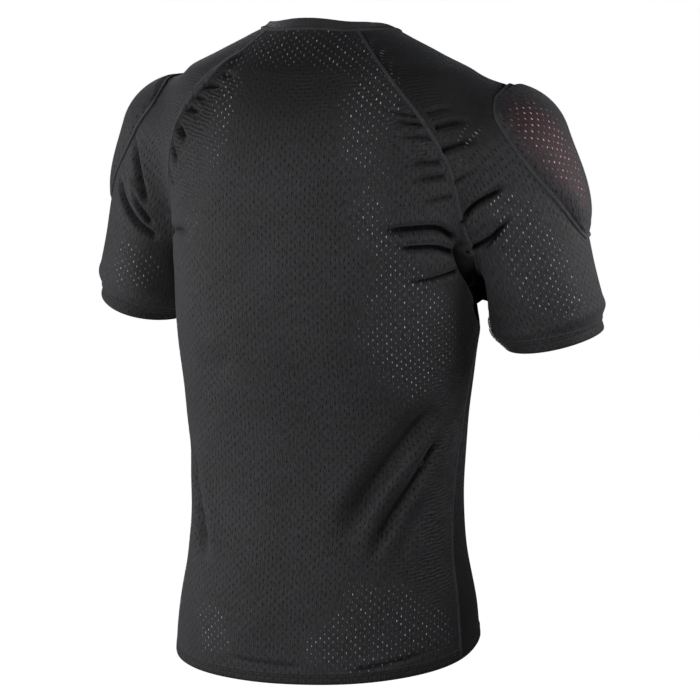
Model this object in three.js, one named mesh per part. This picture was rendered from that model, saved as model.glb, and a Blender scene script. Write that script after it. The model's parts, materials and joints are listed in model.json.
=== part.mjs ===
// A short-sleeved padded compression shirt in black mesh knit, filled out as worn.
// Units are millimetres with +Z up. The front faces -Y and the wearer's left is +X.
// The origin is the middle of the neck at shoulder height, where the wearer carries the shirt.
import * as THREE from 'three';

// Cloth thicknesses and the gap that parts two pieces at a seam.
const clothWall = 1.5;
const turnUpExtra = 0.8;
const seamGap = 0.3;
const hemBand = 17;
const cuffBand = 16;
const neckBandHeight = 11;
const neckBandWall = 2.4;

// The general figure inside the shirt: one row for each level of the torso.
// half is the half width, front and back the depths either side of mid, and square the
// exponent of the section, where 2 is an ellipse.
const torsoSections = [
  { z: 30, half: 56, front: 52, back: 50, mid: 2, square: 2 },
  { z: 4, half: 60, front: 56, back: 53, mid: 2, square: 2 },
  { z: -8, half: 82, front: 63, back: 60, mid: 2, square: 2 },
  { z: -26, half: 119, front: 78, back: 74, mid: 1, square: 2 },
  { z: -44, half: 150, front: 90, back: 86, mid: 0, square: 2.1 },
  { z: -90, half: 164, front: 104, back: 103, mid: 0, square: 2.3 },
  { z: -150, half: 167, front: 114, back: 112, mid: 2, square: 2.3 },
  { z: -230, half: 161, front: 115, back: 112, mid: 4, square: 2.3 },
  { z: -310, half: 159, front: 112, back: 106, mid: 6, square: 2.3 },
  { z: -400, half: 150, front: 102, back: 96, mid: 4, square: 2.3 },
  { z: -480, half: 145, front: 96, back: 94, mid: 2, square: 2.3 },
  { z: -540, half: 148, front: 98, back: 100, mid: 2, square: 2.3 },
  { z: -610, half: 160, front: 102, back: 109, mid: 0, square: 2.3 },
  { z: -700, half: 166, front: 106, back: 112, mid: 0, square: 2.3 },
];

// The arm's axis from the shoulder joint to the cuff, and its section on the way.
// across is the radius in the axis's own upright plane, and through the radius front to back.
const shoulderJoint = new THREE.Vector3(175, -36, -121);
const cuffCentre = new THREE.Vector3(229, -54, -305);
const cuffRadius = 49.5;
const cuffSlant = 9;
const armSections = [
  { at: 0, across: 62.5, through: 67 },
  { at: 0.35, across: 64, through: 66 },
  { at: 0.7, across: 60, through: 62 },
  { at: 0.86, across: 59, through: 60 },
  { at: 0.92, across: 59.5, through: 60 },
  { at: 0.96, across: 54.5, through: 58 },
  { at: 1, across: cuffRadius, through: 57 },
];

// How softly the arm joins the torso: widely over the shoulder and closely in the armpit.
const blends = [
  { z: 0, width: 46 },
  { z: -100, width: 44 },
  { z: -200, width: 18 },
  { z: -340, width: 18 },
];

// The neckline's height at the back, the side and the front.
const neckline = { back: 4, side: -17, front: -52 };
const neckRadius = 62;

// Half the width of each panel at the neckline, as an angle from the middle.
const backNeckAngle = 50;
const frontNeckAngle = 62;

// The hem's height at the middle back, the sides and the middle front.
const hemline = { back: -662, side: -648, front: -630 };
const hemHalf = 165;
const hemDepth = 108;

// The wearer's stance: how many millimetres a point rises for each millimetre to the left.
const stance = [
  { z: 20, tilt: -0.02 },
  { z: -60, tilt: 0 },
  { z: -140, tilt: 0.01 },
  { z: -300, tilt: 0.03 },
  { z: -420, tilt: -0.015 },
  { z: -700, tilt: -0.06 },
];

// The raglan seams from the neck to the armpit, and the side and underarm seams, on the
// wearer's left. Each point is then moved onto the figure.
const armpit = { x: 159, y: -28, z: -268 };
const backRaglan = [
  { x: 96, y: 76, z: -34 },
  { x: 139, y: 80, z: -84 },
  { x: 162, y: 66, z: -132 },
  { x: 166, y: 42, z: -186 },
  { x: 166, y: 8, z: -232 },
];
const frontRaglan = [
  { x: 92, y: -80, z: -48 },
  { x: 120, y: -98, z: -104 },
  { x: 136, y: -92, z: -166 },
  { x: 144, y: -66, z: -232 },
];
const sideSeam = [
  { x: 159, y: -14, z: -310 },
  { x: 150, y: 6, z: -400 },
  { x: 142, y: 18, z: -500 },
  { x: 154, y: 28, z: -590 },
];
const sideHemAngle = 73;

// The shoulder pads lie on the sleeves under sewn covers. A row for each level of a cover:
// down is the place along the sleeve from neck to cuff, and middle and half the cover's
// middle and half width as shares of the way round the sleeve.
const coverLevels = [
  { down: 0.326, middle: 0.53, half: 0.12 },
  { down: 0.342, middle: 0.53, half: 0.19 },
  { down: 0.37, middle: 0.53, half: 0.235 },
  { down: 0.44, middle: 0.535, half: 0.235 },
  { down: 0.53, middle: 0.54, half: 0.195 },
  { down: 0.63, middle: 0.55, half: 0.13 },
  { down: 0.7, middle: 0.555, half: 0.08 },
  { down: 0.74, middle: 0.56, half: 0.04 },
];
const coverWall = 1.2;
const padEdge = 2.5;
const padCrown = 11;
const padFullness = { middle: 0.58, fall: 0.42 };
const padStandOff = 1;
const coverGap = 0.35;
const coverTopLift = 1.1;

// The largest folds: soft troughs that run through points beside the figure. width is a
// trough's whole width and depth how far it sinks.
const folds = [
  { width: 20, depth: 5, way: [[-96, 102, -194], [-148, 65, -194], [-160, 43, -207]] },
  { width: 17, depth: 4, way: [[-110, 95, -214], [-143, 70, -213], [-160, 42, -222]] },
  { width: 16, depth: 3.5, way: [[-116, 90, -243], [-138, 74, -244], [-161, 36, -239]] },
  { width: 18, depth: 4, way: [[-164, 37, -192], [-180, 34, -173], [-208, 30, -152]] },
  { width: 17, depth: 4, way: [[-168, 20, -224], [-186, 25, -207], [-212, 26, -183]] },
  { width: 15, depth: 3, way: [[108, 98, -206], [148, 64, -205], [162, 38, -215]] },
  { width: 16, depth: 3.5, way: [[216, 26, -112], [212, 28, -134], [199, 28, -182]] },
  { width: 18, depth: 4, way: [[234, 12, -166], [226, 18, -190], [190, 18, -224]] },
  { width: 40, depth: 4.5, way: [[-122, 70, -383], [-90, 84, -436], [-52, 96, -532]] },
  { width: 34, depth: 4, way: [[-143, 42, -402], [-122, 62, -458], [-78, 92, -530]] },
  { width: 46, depth: 4, way: [[127, 60, -424], [113, 70, -492], [93, 89, -566]] },
  { width: 19, depth: 4.5, way: [[88, -108, -196], [130, -92, -203], [146, -64, -222]] },
  { width: 16, depth: 3.5, way: [[104, -102, -226], [132, -86, -232], [150, -52, -246]] },
  { width: 18, depth: 4, way: [[-92, -107, -188], [-128, -94, -196], [-143, -70, -214]] },
  { width: 15, depth: 3, way: [[-106, -101, -222], [-134, -84, -228], [-150, -50, -244]] },
  { width: 17, depth: 3.5, way: [[-150, -76, -190], [-176, -88, -168], [-206, -92, -150]] },
  { width: 17, depth: 3.5, way: [[152, -74, -196], [180, -88, -176], [212, -90, -158]] },
  { width: 40, depth: 4, way: [[124, -66, -396], [94, -82, -446], [58, -92, -532]] },
  { width: 38, depth: 3.5, way: [[-126, -64, -420], [-106, -76, -482], [-84, -86, -556]] },
];

const smoothStep = (t) => THREE.MathUtils.smoothstep(t, 0, 1);

const mix = THREE.MathUtils.lerp;

// Reads a table at a place between its rows, along a smooth curve through them.
function readTable(rows, key, place, column) {
  const step = rows[1][key] > rows[0][key] ? 1 : -1;
  let i = 0;
  while (i < rows.length - 2 && step * place > step * rows[i + 1][key]) {
    i += 1;
  }
  const slopeAt = (k) => {
    const low = rows[Math.max(0, k - 1)];
    const high = rows[Math.min(rows.length - 1, k + 1)];
    return (high[column] - low[column]) / (high[key] - low[key]);
  };
  const from = rows[i];
  const to = rows[i + 1];
  const span = to[key] - from[key];
  const t = THREE.MathUtils.clamp((place - from[key]) / span, 0, 1);
  const s = t * t * (3 - 2 * t);
  const bend = t * (1 - t) * (1 - t) * slopeAt(i) - t * t * (1 - t) * slopeAt(i + 1);
  return mix(from[column], to[column], s) + bend * span;
}

// How far a point is outside the torso, measured level, from the section at its height.
function torsoField(p) {
  const read = (column) => readTable(torsoSections, 'z', p.z, column);
  const y = p.y - read('mid');
  const n = read('square');
  const depth = y > 0 ? read('back') : read('front');
  const share = Math.abs(p.x / read('half')) ** n + Math.abs(y / depth) ** n;
  const rho = Math.max(1e-6, share ** (1 / n));
  return Math.hypot(p.x, y) * (1 - 1 / rho);
}

const armAxis = cuffCentre.clone().sub(shoulderJoint);
const armLength = armAxis.length();
const armDirection = armAxis.clone().normalize();
const armBackward = new THREE.Vector3(0, 1, 0);
armBackward.addScaledVector(armDirection, -armBackward.dot(armDirection)).normalize();
const armOutward = new THREE.Vector3().crossVectors(armBackward, armDirection).negate();
if (armOutward.x < 0) {
  armOutward.negate();
}

// How far a point is outside the arm on its own side.
function armField(p) {
  const d = new THREE.Vector3(Math.abs(p.x), p.y, p.z).sub(shoulderJoint);
  const along = d.dot(armDirection);
  const at = THREE.MathUtils.clamp(along / armLength, 0, 1);
  const out = d.dot(armOutward) / readTable(armSections, 'at', at, 'across');
  const back = d.dot(armBackward) / readTable(armSections, 'at', at, 'through');
  const cap = Math.min(0, along) / armSections[0].across;
  const rho = Math.max(1e-6, Math.hypot(out, back, cap));
  const reach = Math.hypot(d.dot(armOutward), d.dot(armBackward), Math.min(0, along));
  return reach * (1 - 1 / rho);
}

// The figure: torso and arms joined with a soft crease.
function figureField(p) {
  const torso = torsoField(p);
  const arm = armField(p);
  return Math.min(torso, arm) - creaseFill(p, Math.abs(torso - arm));
}

// One side of the figure's crease, carried on under the other side.
function torsoSideField(p) {
  const torso = torsoField(p);
  return torso - creaseFill(p, Math.max(0, armField(p) - torso));
}

function armSideField(p) {
  const arm = armField(p);
  return arm - creaseFill(p, Math.max(0, torsoField(p) - arm));
}

function creaseFill(p, difference) {
  const blend = readTable(blends, 'z', p.z, 'width');
  const near = Math.max(0, blend - difference) / blend;
  return (near * near * blend) / 4;
}

const probe = 0.4;

function fieldGradient(p) {
  const g = new THREE.Vector3();
  for (const axis of ['x', 'y', 'z']) {
    const high = p.clone();
    const low = p.clone();
    high[axis] += probe;
    low[axis] -= probe;
    g[axis] = (figureField(high) - figureField(low)) / (2 * probe);
  }
  return g;
}

// Moves a point onto the figure along the field's slope, in a few steps of limited length.
const seatingSteps = 14;
const longestStep = 12;
const leastSlope = 0.2;
function ontoFigure(point) {
  const p = point.clone();
  for (let i = 0; i < seatingSteps; i += 1) {
    const g = fieldGradient(p);
    const step = figureField(p) / Math.max(leastSlope, g.lengthSq());
    p.addScaledVector(g, -THREE.MathUtils.clamp(step, -longestStep, longestStep));
  }
  return p;
}

const normalAt = (p) => fieldGradient(p).normalize();

// The place where a line from inside a field, through a second point, first leaves it.
const castStep = 4;
const castReach = 400;
const castHalvings = 16;
function castOut(centre, through, field) {
  const way = through.clone().sub(centre).normalize();
  const at = (distance) => centre.clone().addScaledVector(way, distance);
  let outside = castStep;
  while (outside < castReach && field(at(outside)) < 0) {
    outside += castStep;
  }
  let inside = outside - castStep;
  for (let i = 0; i < castHalvings; i += 1) {
    const middle = (inside + outside) / 2;
    if (field(at(middle)) < 0) {
      inside = middle;
    } else {
      outside = middle;
    }
  }
  return at(outside);
}

// A smooth curve through points, each moved onto the figure.
function curveOnFigure(points) {
  const seated = points.map((p) => ontoFigure(new THREE.Vector3(p.x, p.y, p.z)));
  const curve = new THREE.CatmullRomCurve3(seated, false, 'centripetal');
  return (t) => ontoFigure(curve.getPointAt(THREE.MathUtils.clamp(t, 0, 1)));
}

// A point of the neckline, at an angle from the middle back towards the wearer's left.
function necklinePoint(degrees) {
  const a = THREE.MathUtils.degToRad(degrees);
  const swing = (neckline.back - neckline.front) / 2;
  const middle = (neckline.back + neckline.front) / 2;
  const twist = (middle - neckline.side) / 2;
  const z = middle - twist + swing * Math.cos(a) + twist * Math.cos(2 * a);
  return ontoFigure(new THREE.Vector3(neckRadius * Math.sin(a), neckRadius * Math.cos(a), z));
}

// A point of the hem, at an angle from the middle back towards the wearer's left.
function hemPoint(degrees) {
  const a = THREE.MathUtils.degToRad(degrees);
  const swing = (hemline.back - hemline.front) / 2;
  const middle = (hemline.back + hemline.front) / 2;
  const twist = (middle - hemline.side) / 2;
  const z = middle - twist + swing * Math.cos(a) + twist * Math.cos(2 * a);
  return ontoFigure(new THREE.Vector3(hemHalf * Math.sin(a), hemDepth * Math.cos(a), z));
}

const mirrored = (p) => new THREE.Vector3(-p.x, p.y, p.z);

const backRaglanSeam = curveOnFigure([necklinePoint(backNeckAngle), ...backRaglan, armpit]);
const frontRaglanSeam = curveOnFigure([
  necklinePoint(180 - frontNeckAngle),
  ...frontRaglan,
  armpit,
]);
const sideSeamCurve = curveOnFigure([armpit, ...sideSeam, hemPoint(sideHemAngle)]);
const cuffUnder = cuffCentre
  .clone()
  .addScaledVector(armOutward, -cuffRadius)
  .addScaledVector(armDirection, -cuffSlant / 3);
const underarmSeam = curveOnFigure([armpit, mixPoint(armpit, cuffUnder, 0.5), cuffUnder]);

function mixPoint(a, b, t) {
  return new THREE.Vector3(mix(a.x, b.x, t), mix(a.y, b.y, t), mix(a.z, b.z, t));
}

// Two seams end to end as one edge: the first takes the share split of the way.
function joined(first, second, split) {
  return (t) => (t < split ? first(t / split) : second((t - split) / (1 - split)));
}

// How far the folds sink the cloth at a point of the figure: each trough is rounded across
// and runs out at both ends.
const foldEnd = 0.3;
function foldSink(p) {
  let sink = 0;
  for (const fold of folds) {
    const way = fold.way.map(([x, y, z]) => new THREE.Vector3(x, y, z));
    const legs = [new THREE.Line3(way[0], way[1]), new THREE.Line3(way[1], way[2])];
    const whole = legs[0].distance() + legs[1].distance();
    let nearest = { gap: fold.width, along: 0 };
    let passed = 0;
    for (const leg of legs) {
      const t = leg.closestPointToPointParameter(p, true);
      const gap = leg.at(t, new THREE.Vector3()).distanceTo(p);
      if (gap < nearest.gap) {
        nearest = { gap, along: (passed + t * leg.distance()) / whole };
      }
      passed += leg.distance();
    }
    const across = 1 - smoothStep((2 * nearest.gap) / fold.width);
    const { along } = nearest;
    const ends = smoothStep(along / foldEnd) * smoothStep((1 - along) / foldEnd);
    sink += fold.depth * across * ends;
  }
  return sink;
}

// Leans a finished point with the wearer's stance.
function standing(p) {
  const lean = readTable(stance, 'z', p.z, 'tilt');
  return p.setZ(p.z + lean * p.x);
}

// A closed wall from a grid of figure points. rise and extra give, at a grid place, how far
// the cloth stands off the figure and how much thicker it is. A loop's last column meets its
// first.
function wallMesh(name, grid, material, shape) {
  const inner = [];
  const outer = [];
  grid.forEach((row, r) => {
    row.forEach((point, c) => {
      const p = pulledIn(grid, r, c, shape.loop);
      const n = normalAt(point);
      const rise = (shape.rise ? shape.rise(r, c) : 0) - foldSink(point);
      const extra = shape.extra ? shape.extra(r, c) : 0;
      inner.push(standing(p.clone().addScaledVector(n, rise)));
      outer.push(standing(p.clone().addScaledVector(n, rise + shape.wall + extra)));
    });
  });
  const faces = wallFaces(grid.length, grid[0].length, shape.loop, shape.flip);
  return solidMesh(name, [...inner, ...outer], faces, material);
}

// A grid point, with those on an edge moved in by half a seam gap.
function pulledIn(grid, r, c, loop) {
  const p = grid[r][c].clone();
  const lastRow = grid.length - 1;
  const lastColumn = grid[0].length - 1;
  const pull = (neighbour) => {
    const way = neighbour.clone().sub(grid[r][c]).normalize();
    p.addScaledVector(way, seamGap / 2);
  };
  if (r === 0) pull(grid[1][c]);
  if (r === lastRow) pull(grid[lastRow - 1][c]);
  if (c === 0 && !loop) pull(grid[r][1]);
  if (c === lastColumn && !loop) pull(grid[r][lastColumn - 1]);
  return p;
}

// The faces of a wall whose inner points come first and outer points second.
function wallFaces(rows, columns, loop, flip) {
  const faces = [];
  const quad = (a, b, c, d) => {
    if (flip) {
      faces.push(a, c, b, a, d, c);
    } else {
      faces.push(a, b, c, a, c, d);
    }
  };
  const outside = rows * columns;
  const id = (r, c) => r * columns + (c % columns);
  const steps = loop ? columns : columns - 1;
  for (let c = 0; c < steps; c += 1) {
    for (let r = 0; r < rows - 1; r += 1) {
      const [a, b, d, e] = [id(r, c), id(r, c + 1), id(r + 1, c + 1), id(r + 1, c)];
      quad(outside + a, outside + b, outside + d, outside + e);
      quad(a, e, d, b);
    }
    const [a, b] = [id(0, c), id(0, c + 1)];
    quad(a, b, outside + b, outside + a);
    const [d, e] = [id(rows - 1, c), id(rows - 1, c + 1)];
    quad(e, d, outside + d, outside + e);
  }
  if (loop) {
    return faces;
  }
  for (let r = 0; r < rows - 1; r += 1) {
    const [a, b] = [id(r, 0), id(r + 1, 0)];
    quad(b, a, outside + a, outside + b);
    const [d, e] = [id(r, columns - 1), id(r + 1, columns - 1)];
    quad(d, e, outside + e, outside + d);
  }
  return faces;
}

function solidMesh(name, points, faces, material) {
  const geometry = new THREE.BufferGeometry().setFromPoints(points);
  geometry.setIndex(faces);
  geometry.computeVertexNormals();
  const mesh = new THREE.Mesh(geometry, material);
  mesh.name = name;
  return mesh;
}

// Even places from 0 to 1.
const places = (count) => Array.from({ length: count + 1 }, (_, i) => i / count);

// Places along an edge that starts with a turned-up band, whose top is a step of two rows, and
// passes the armpit on the way, where the steps are closest. Panels that share a seam take
// the same steps along it.
const bandStep = 0.0015;
const raglanSteps = 17;
const towardsArmpit = 1.25;
function edgePlaces(band, armpitPlace, stepsToArmpit) {
  const start = band + bandStep;
  const low = places(stepsToArmpit).map((t) => mix(start, armpitPlace, t));
  const high = places(raglanSteps)
    .slice(1)
    .map((t) => mix(armpitPlace, 1, t ** towardsArmpit));
  return [0, band, ...low, ...high];
}

// A body panel between four edges. Each inner point has its height and its turn about the
// body blended from the edges, and lies where that way leaves the figure. Rows run from the
// hem to the neck, and columns from the wearer's right to left.
const bodyFlatness = 1.45;
function panelGrid(edges, turnOf, rowPlaces, columnPlaces) {
  const blend = (value, u, v) => {
    const sides = mix(value(edges.left(v)), value(edges.right(v)), u);
    const ends = mix(value(edges.bottom(u)), value(edges.top(u)), v);
    const low = mix(value(edges.bottom(0)), value(edges.bottom(1)), u);
    const high = mix(value(edges.top(0)), value(edges.top(1)), u);
    return sides + ends - mix(low, high, v);
  };
  return rowPlaces.map((v) =>
    columnPlaces.map((u) => {
      if (u === 0) return edges.left(v);
      if (u === 1) return edges.right(v);
      if (v === 0) return edges.bottom(u);
      if (v === 1) return edges.top(u);
      const z = blend((p) => p.z, u, v);
      const turn = blend(turnOf, u, v);
      const centre = new THREE.Vector3(0, 0, z);
      const out = new THREE.Vector3(bodyFlatness * Math.sin(turn), Math.cos(turn), 0);
      return castOut(centre, out.add(centre), torsoSideField);
    }),
  );
}

// A point's turn about the body from the middle back, or from the middle front.
const turnFromBack = (p) => Math.atan2(p.x / bodyFlatness, p.y);
const turnFromFront = (p) => Math.PI - Math.atan2(p.x / bodyFlatness, -p.y);

const armpitShare = 0.64;
const sideSteps = 15;
const sideUp = (t) => sideSeamCurve(1 - t);
const backLeftEdge = joined(sideUp, (t) => backRaglanSeam(1 - t), armpitShare);
const frontLeftEdge = joined(sideUp, (t) => frontRaglanSeam(1 - t), armpitShare);

const meshCloth = new THREE.MeshStandardMaterial({
  color: 0x222225,
  roughness: 0.85,
  metalness: 0,
});
const bandCloth = new THREE.MeshStandardMaterial({
  color: 0x1c1c1e,
  roughness: 0.9,
  metalness: 0,
});

const padFoam = new THREE.MeshStandardMaterial({
  color: 0xb0323a,
  roughness: 0.95,
  metalness: 0,
});

const panelLength = 680;
const hemShare = hemBand / panelLength;
const hemThicker = (r) => (r <= 1 ? turnUpExtra : 0);

function backPanel() {
  const grid = panelGrid(
    {
      left: (v) => mirrored(backLeftEdge(v)),
      right: backLeftEdge,
      bottom: (u) => hemPoint(mix(-sideHemAngle, sideHemAngle, u)),
      top: (u) => necklinePoint(mix(-backNeckAngle, backNeckAngle, u)),
    },
    turnFromBack,
    edgePlaces(hemShare, armpitShare, sideSteps),
    places(24),
  );
  return wallMesh('back_panel', grid, meshCloth, {
    wall: clothWall,
    extra: hemThicker,
    flip: true,
  });
}

function frontPanel() {
  const grid = panelGrid(
    {
      left: (v) => mirrored(frontLeftEdge(v)),
      right: frontLeftEdge,
      bottom: (u) => hemPoint(mix(-sideHemAngle, sideHemAngle - 360, u)),
      top: (u) => necklinePoint(mix(frontNeckAngle - 180, -frontNeckAngle - 180, u)),
    },
    turnFromFront,
    edgePlaces(hemShare, armpitShare, sideSteps),
    places(20),
  );
  return wallMesh('front_panel', grid, meshCloth, {
    wall: clothWall,
    extra: hemThicker,
  });
}

// The sleeve runs from the neck to the cuff. Its back and front edges follow the raglan
// seams to the armpit and then the underarm seam, and its crown runs over the shoulder.
const sleeveArmpitShare = 0.78;
const underarmSteps = 7;
const crownArmpitShare = 0.8;
const crownGuide = [
  { x: 112, y: -6, z: -34 },
  { x: 176, y: -12, z: -60 },
  { x: 226, y: -22, z: -106 },
  { x: 256, y: -34, z: -190 },
];
const sleeveAxisGuide = [
  { x: 46, y: 0, z: -48 },
  { x: 112, y: -6, z: -76 },
  { x: 160, y: -11, z: -106 },
];
const neckMiddleAngle = mix(backNeckAngle, 180 - frontNeckAngle, 0.5);
const cuffOuter = cuffCentre
  .clone()
  .addScaledVector(armOutward, cuffRadius)
  .addScaledVector(armDirection, cuffSlant);
const crownCurve = curveOnFigure([necklinePoint(neckMiddleAngle), ...crownGuide, cuffOuter]);
const armpitAlong = new THREE.Vector3(armpit.x, armpit.y, armpit.z)
  .sub(shoulderJoint)
  .dot(armDirection);
const armpitCentre = shoulderJoint.clone().addScaledVector(armDirection, armpitAlong);
const sleeveAxis = new THREE.CatmullRomCurve3(
  [...sleeveAxisGuide, armpitCentre].map((p) => new THREE.Vector3(p.x, p.y, p.z)),
);

const sleeveBackEdge = joined(backRaglanSeam, underarmSeam, sleeveArmpitShare);
const sleeveFrontEdge = joined(frontRaglanSeam, underarmSeam, sleeveArmpitShare);

const crownAt = joined(
  (t) => crownCurve(t * crownArmpitShare),
  (t) => crownCurve(mix(crownArmpitShare, 1, t)),
  sleeveArmpitShare,
);

function sleeveAxisAt(v) {
  if (v < sleeveArmpitShare) {
    const t = v / sleeveArmpitShare;
    return { centre: sleeveAxis.getPointAt(t), way: sleeveAxis.getTangentAt(t) };
  }
  const t = (v - sleeveArmpitShare) / (1 - sleeveArmpitShare);
  return { centre: armpitCentre.clone().lerp(cuffCentre, t), way: armDirection.clone() };
}

// A row of the left sleeve: its points fan round the axis from the back edge over the crown
// to the front edge.
function sleeveRow(v, columnPlaces) {
  const { centre, way } = sleeveAxisAt(v);
  const crown = spokeOf(crownAt(v), centre, way);
  const crownHat = crown.across.clone().normalize();
  const backHat = new THREE.Vector3().crossVectors(crownHat, way);
  if (backHat.y < 0) {
    backHat.negate();
  }
  const edges = [sleeveBackEdge(v), sleeveFrontEdge(v)].map((edge, k) => {
    const spoke = spokeOf(edge, centre, way);
    const side = k === 0 ? 1 : -1;
    const turn = Math.atan2(spoke.across.dot(backHat) * side, spoke.across.dot(crownHat));
    return { ...spoke, edge, side, angle: turn < -1 ? turn + 2 * Math.PI : turn };
  });
  return columnPlaces.map((u) => {
    if (u === 0) return edges[0].edge;
    if (u === 1) return edges[1].edge;
    const towards = u < 0.5 ? edges[0] : edges[1];
    const w = Math.abs(u - 0.5) * 2;
    const angle = towards.angle * w;
    const reach = mix(crown.across.length(), towards.across.length(), w * w);
    return centre
      .clone()
      .addScaledVector(way, mix(crown.along, towards.along, w * w))
      .addScaledVector(crownHat, reach * Math.cos(angle))
      .addScaledVector(backHat, reach * Math.sin(angle) * towards.side);
  });
}

// A point as its place along an axis and its way across it.
function spokeOf(point, centre, way) {
  const d = point.clone().sub(centre);
  const along = d.dot(way);
  return { along, across: d.addScaledVector(way, -along) };
}

// Near the neck the rows bend to follow the neckline.
const neckEase = 0.25;

function sleeveGrid(rowPlaces, columnPlaces) {
  const first = sleeveRow(0, columnPlaces);
  const neckRow = columnPlaces.map((u) =>
    necklinePoint(mix(backNeckAngle, 180 - frontNeckAngle, u)),
  );
  return rowPlaces.map((v) => {
    const ease = Math.max(0, 1 - v / neckEase) ** 2;
    return sleeveRow(v, columnPlaces).map((p, c) => {
      if (c === 0 || c === columnPlaces.length - 1) return p;
      const shift = neckRow[c].clone().sub(first[c]);
      const field = v > sleeveArmpitShare ? armSideField : figureField;
      return castOut(sleeveAxisAt(v).centre, p.addScaledVector(shift, ease), field);
    });
  });
}

const sleeveLength = 400;
const cuffShare = cuffBand / sleeveLength;

function sleeve(name, side) {
  const rowPlaces = edgePlaces(cuffShare, 1 - sleeveArmpitShare, underarmSteps)
    .map((v) => 1 - v)
    .reverse();
  const left = sleeveGrid(rowPlaces, places(18));
  const grid = side > 0 ? left : left.map((row) => row.map(mirrored));
  return wallMesh(name, grid, meshCloth, {
    wall: clothWall,
    extra: (r) => (r >= rowPlaces.length - 2 ? turnUpExtra : 0),
    flip: side < 0,
  });
}

// The share of the cover between its sewn edge and the pad under it.
const coverMargin = 0.07;
const acrossCover = [-1, ...places(12).map((b) => (b * 2 - 1) * (1 - 2 * coverMargin)), 1];
const downCover = [0, ...places(11).map((a) => mix(coverMargin, 1 - coverMargin, a)), 1];

// The points of the left sleeve under its pad cover.
function coverGrid() {
  const [top, end] = [coverLevels[0].down, coverLevels[coverLevels.length - 1].down];
  return downCover.map((a) => {
    const down = mix(top, end, a);
    const middle = readTable(coverLevels, 'down', down, 'middle');
    const half = readTable(coverLevels, 'down', down, 'half');
    const row = sleeveRow(down, acrossCover.map((b) => middle + half * b));
    return row.map((p) => castOut(sleeveAxisAt(down).centre, p, figureField));
  });
}

// The pad's thickness at a place of its own grid: crowned, and fuller towards its lower end.
function padThickness(r, c, rows, columns) {
  const a = (2 * r) / (rows - 1) - 1;
  const b = (2 * c) / (columns - 1) - 1;
  const fullness = padFullness.middle + padFullness.fall * a;
  return mix(padEdge, padCrown, (1 - a ** 4) * (1 - b ** 4) * fullness);
}

function shoulderPad(name, side) {
  const left = coverGrid().slice(1, -1).map((row) => row.slice(1, -1));
  const grid = side > 0 ? left : left.map((row) => row.map(mirrored));
  return wallMesh(name, grid, padFoam, {
    wall: 0,
    rise: () => clothWall + padStandOff,
    extra: (r, c) => padThickness(r, c, grid.length, grid[0].length),
    flip: side < 0,
  });
}

function padCover(name, side) {
  const left = coverGrid();
  const grid = side > 0 ? left : left.map((row) => row.map(mirrored));
  const [rows, columns] = [grid.length, grid[0].length];
  const overPad = (r, c) => r > 0 && r < rows - 1 && c > 0 && c < columns - 1;
  return wallMesh(name, grid, meshCloth, {
    wall: coverWall,
    rise: (r, c) => {
      const base = clothWall + padStandOff;
      if (r === 0) return base + coverTopLift;
      if (!overPad(r, c)) return base;
      return base + coverGap + padThickness(r - 1, c - 1, rows - 2, columns - 2);
    },
    flip: side < 0,
  });
}

// The neck band stands on the neckline, a step up the neck at a time.
const neckTurns = 40;
const neckSteps = 2;
function neckBand() {
  const turns = Array.from({ length: neckTurns }, (_, i) => (i * 360) / neckTurns);
  const start = turns.map(necklinePoint);
  const grid = [start];
  for (let k = 1; k <= neckSteps; k += 1) {
    const below = grid[k - 1];
    grid.push(
      below.map((p, i) => {
        const next = below[(i + 1) % below.length];
        const before = below[(i + below.length - 1) % below.length];
        const along = next.clone().sub(before).normalize();
        const up = new THREE.Vector3().crossVectors(normalAt(p), along).normalize();
        if (up.z < 0) {
          up.negate();
        }
        return ontoFigure(p.clone().addScaledVector(up, neckBandHeight / neckSteps));
      }),
    );
  }
  return wallMesh('neck_band', grid, bandCloth, {
    wall: neckBandWall,
    loop: true,
    flip: true,
  });
}

const garment = new THREE.Group();
garment.add(
  backPanel(),
  frontPanel(),
  sleeve('sleeve_left', 1),
  sleeve('sleeve_right', -1),
  shoulderPad('shoulder_pad_left', 1),
  shoulderPad('shoulder_pad_right', -1),
  padCover('pad_cover_left', 1),
  padCover('pad_cover_right', -1),
  neckBand(),
);

export default garment;
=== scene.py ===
# %% [markdown]
# # A padded compression shirt
# A compression shirt is sewn from stretch mesh knit: a front, a back and two raglan sleeves,
# which run from the neck to the cuff. A foam pad lies on each shoulder under a sewn cover.
# The shirt is shown filled out as worn, with no one inside, so it is a hollow shell of cloth.
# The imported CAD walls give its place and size. Each cut piece is laid again here as a fine
# cloth sheet with its creases, and then the seams, stitches and knit are added.

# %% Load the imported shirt
import json
import math

import bmesh
import bpy
import numpy as np
from mathutils import Matrix, Vector

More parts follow.
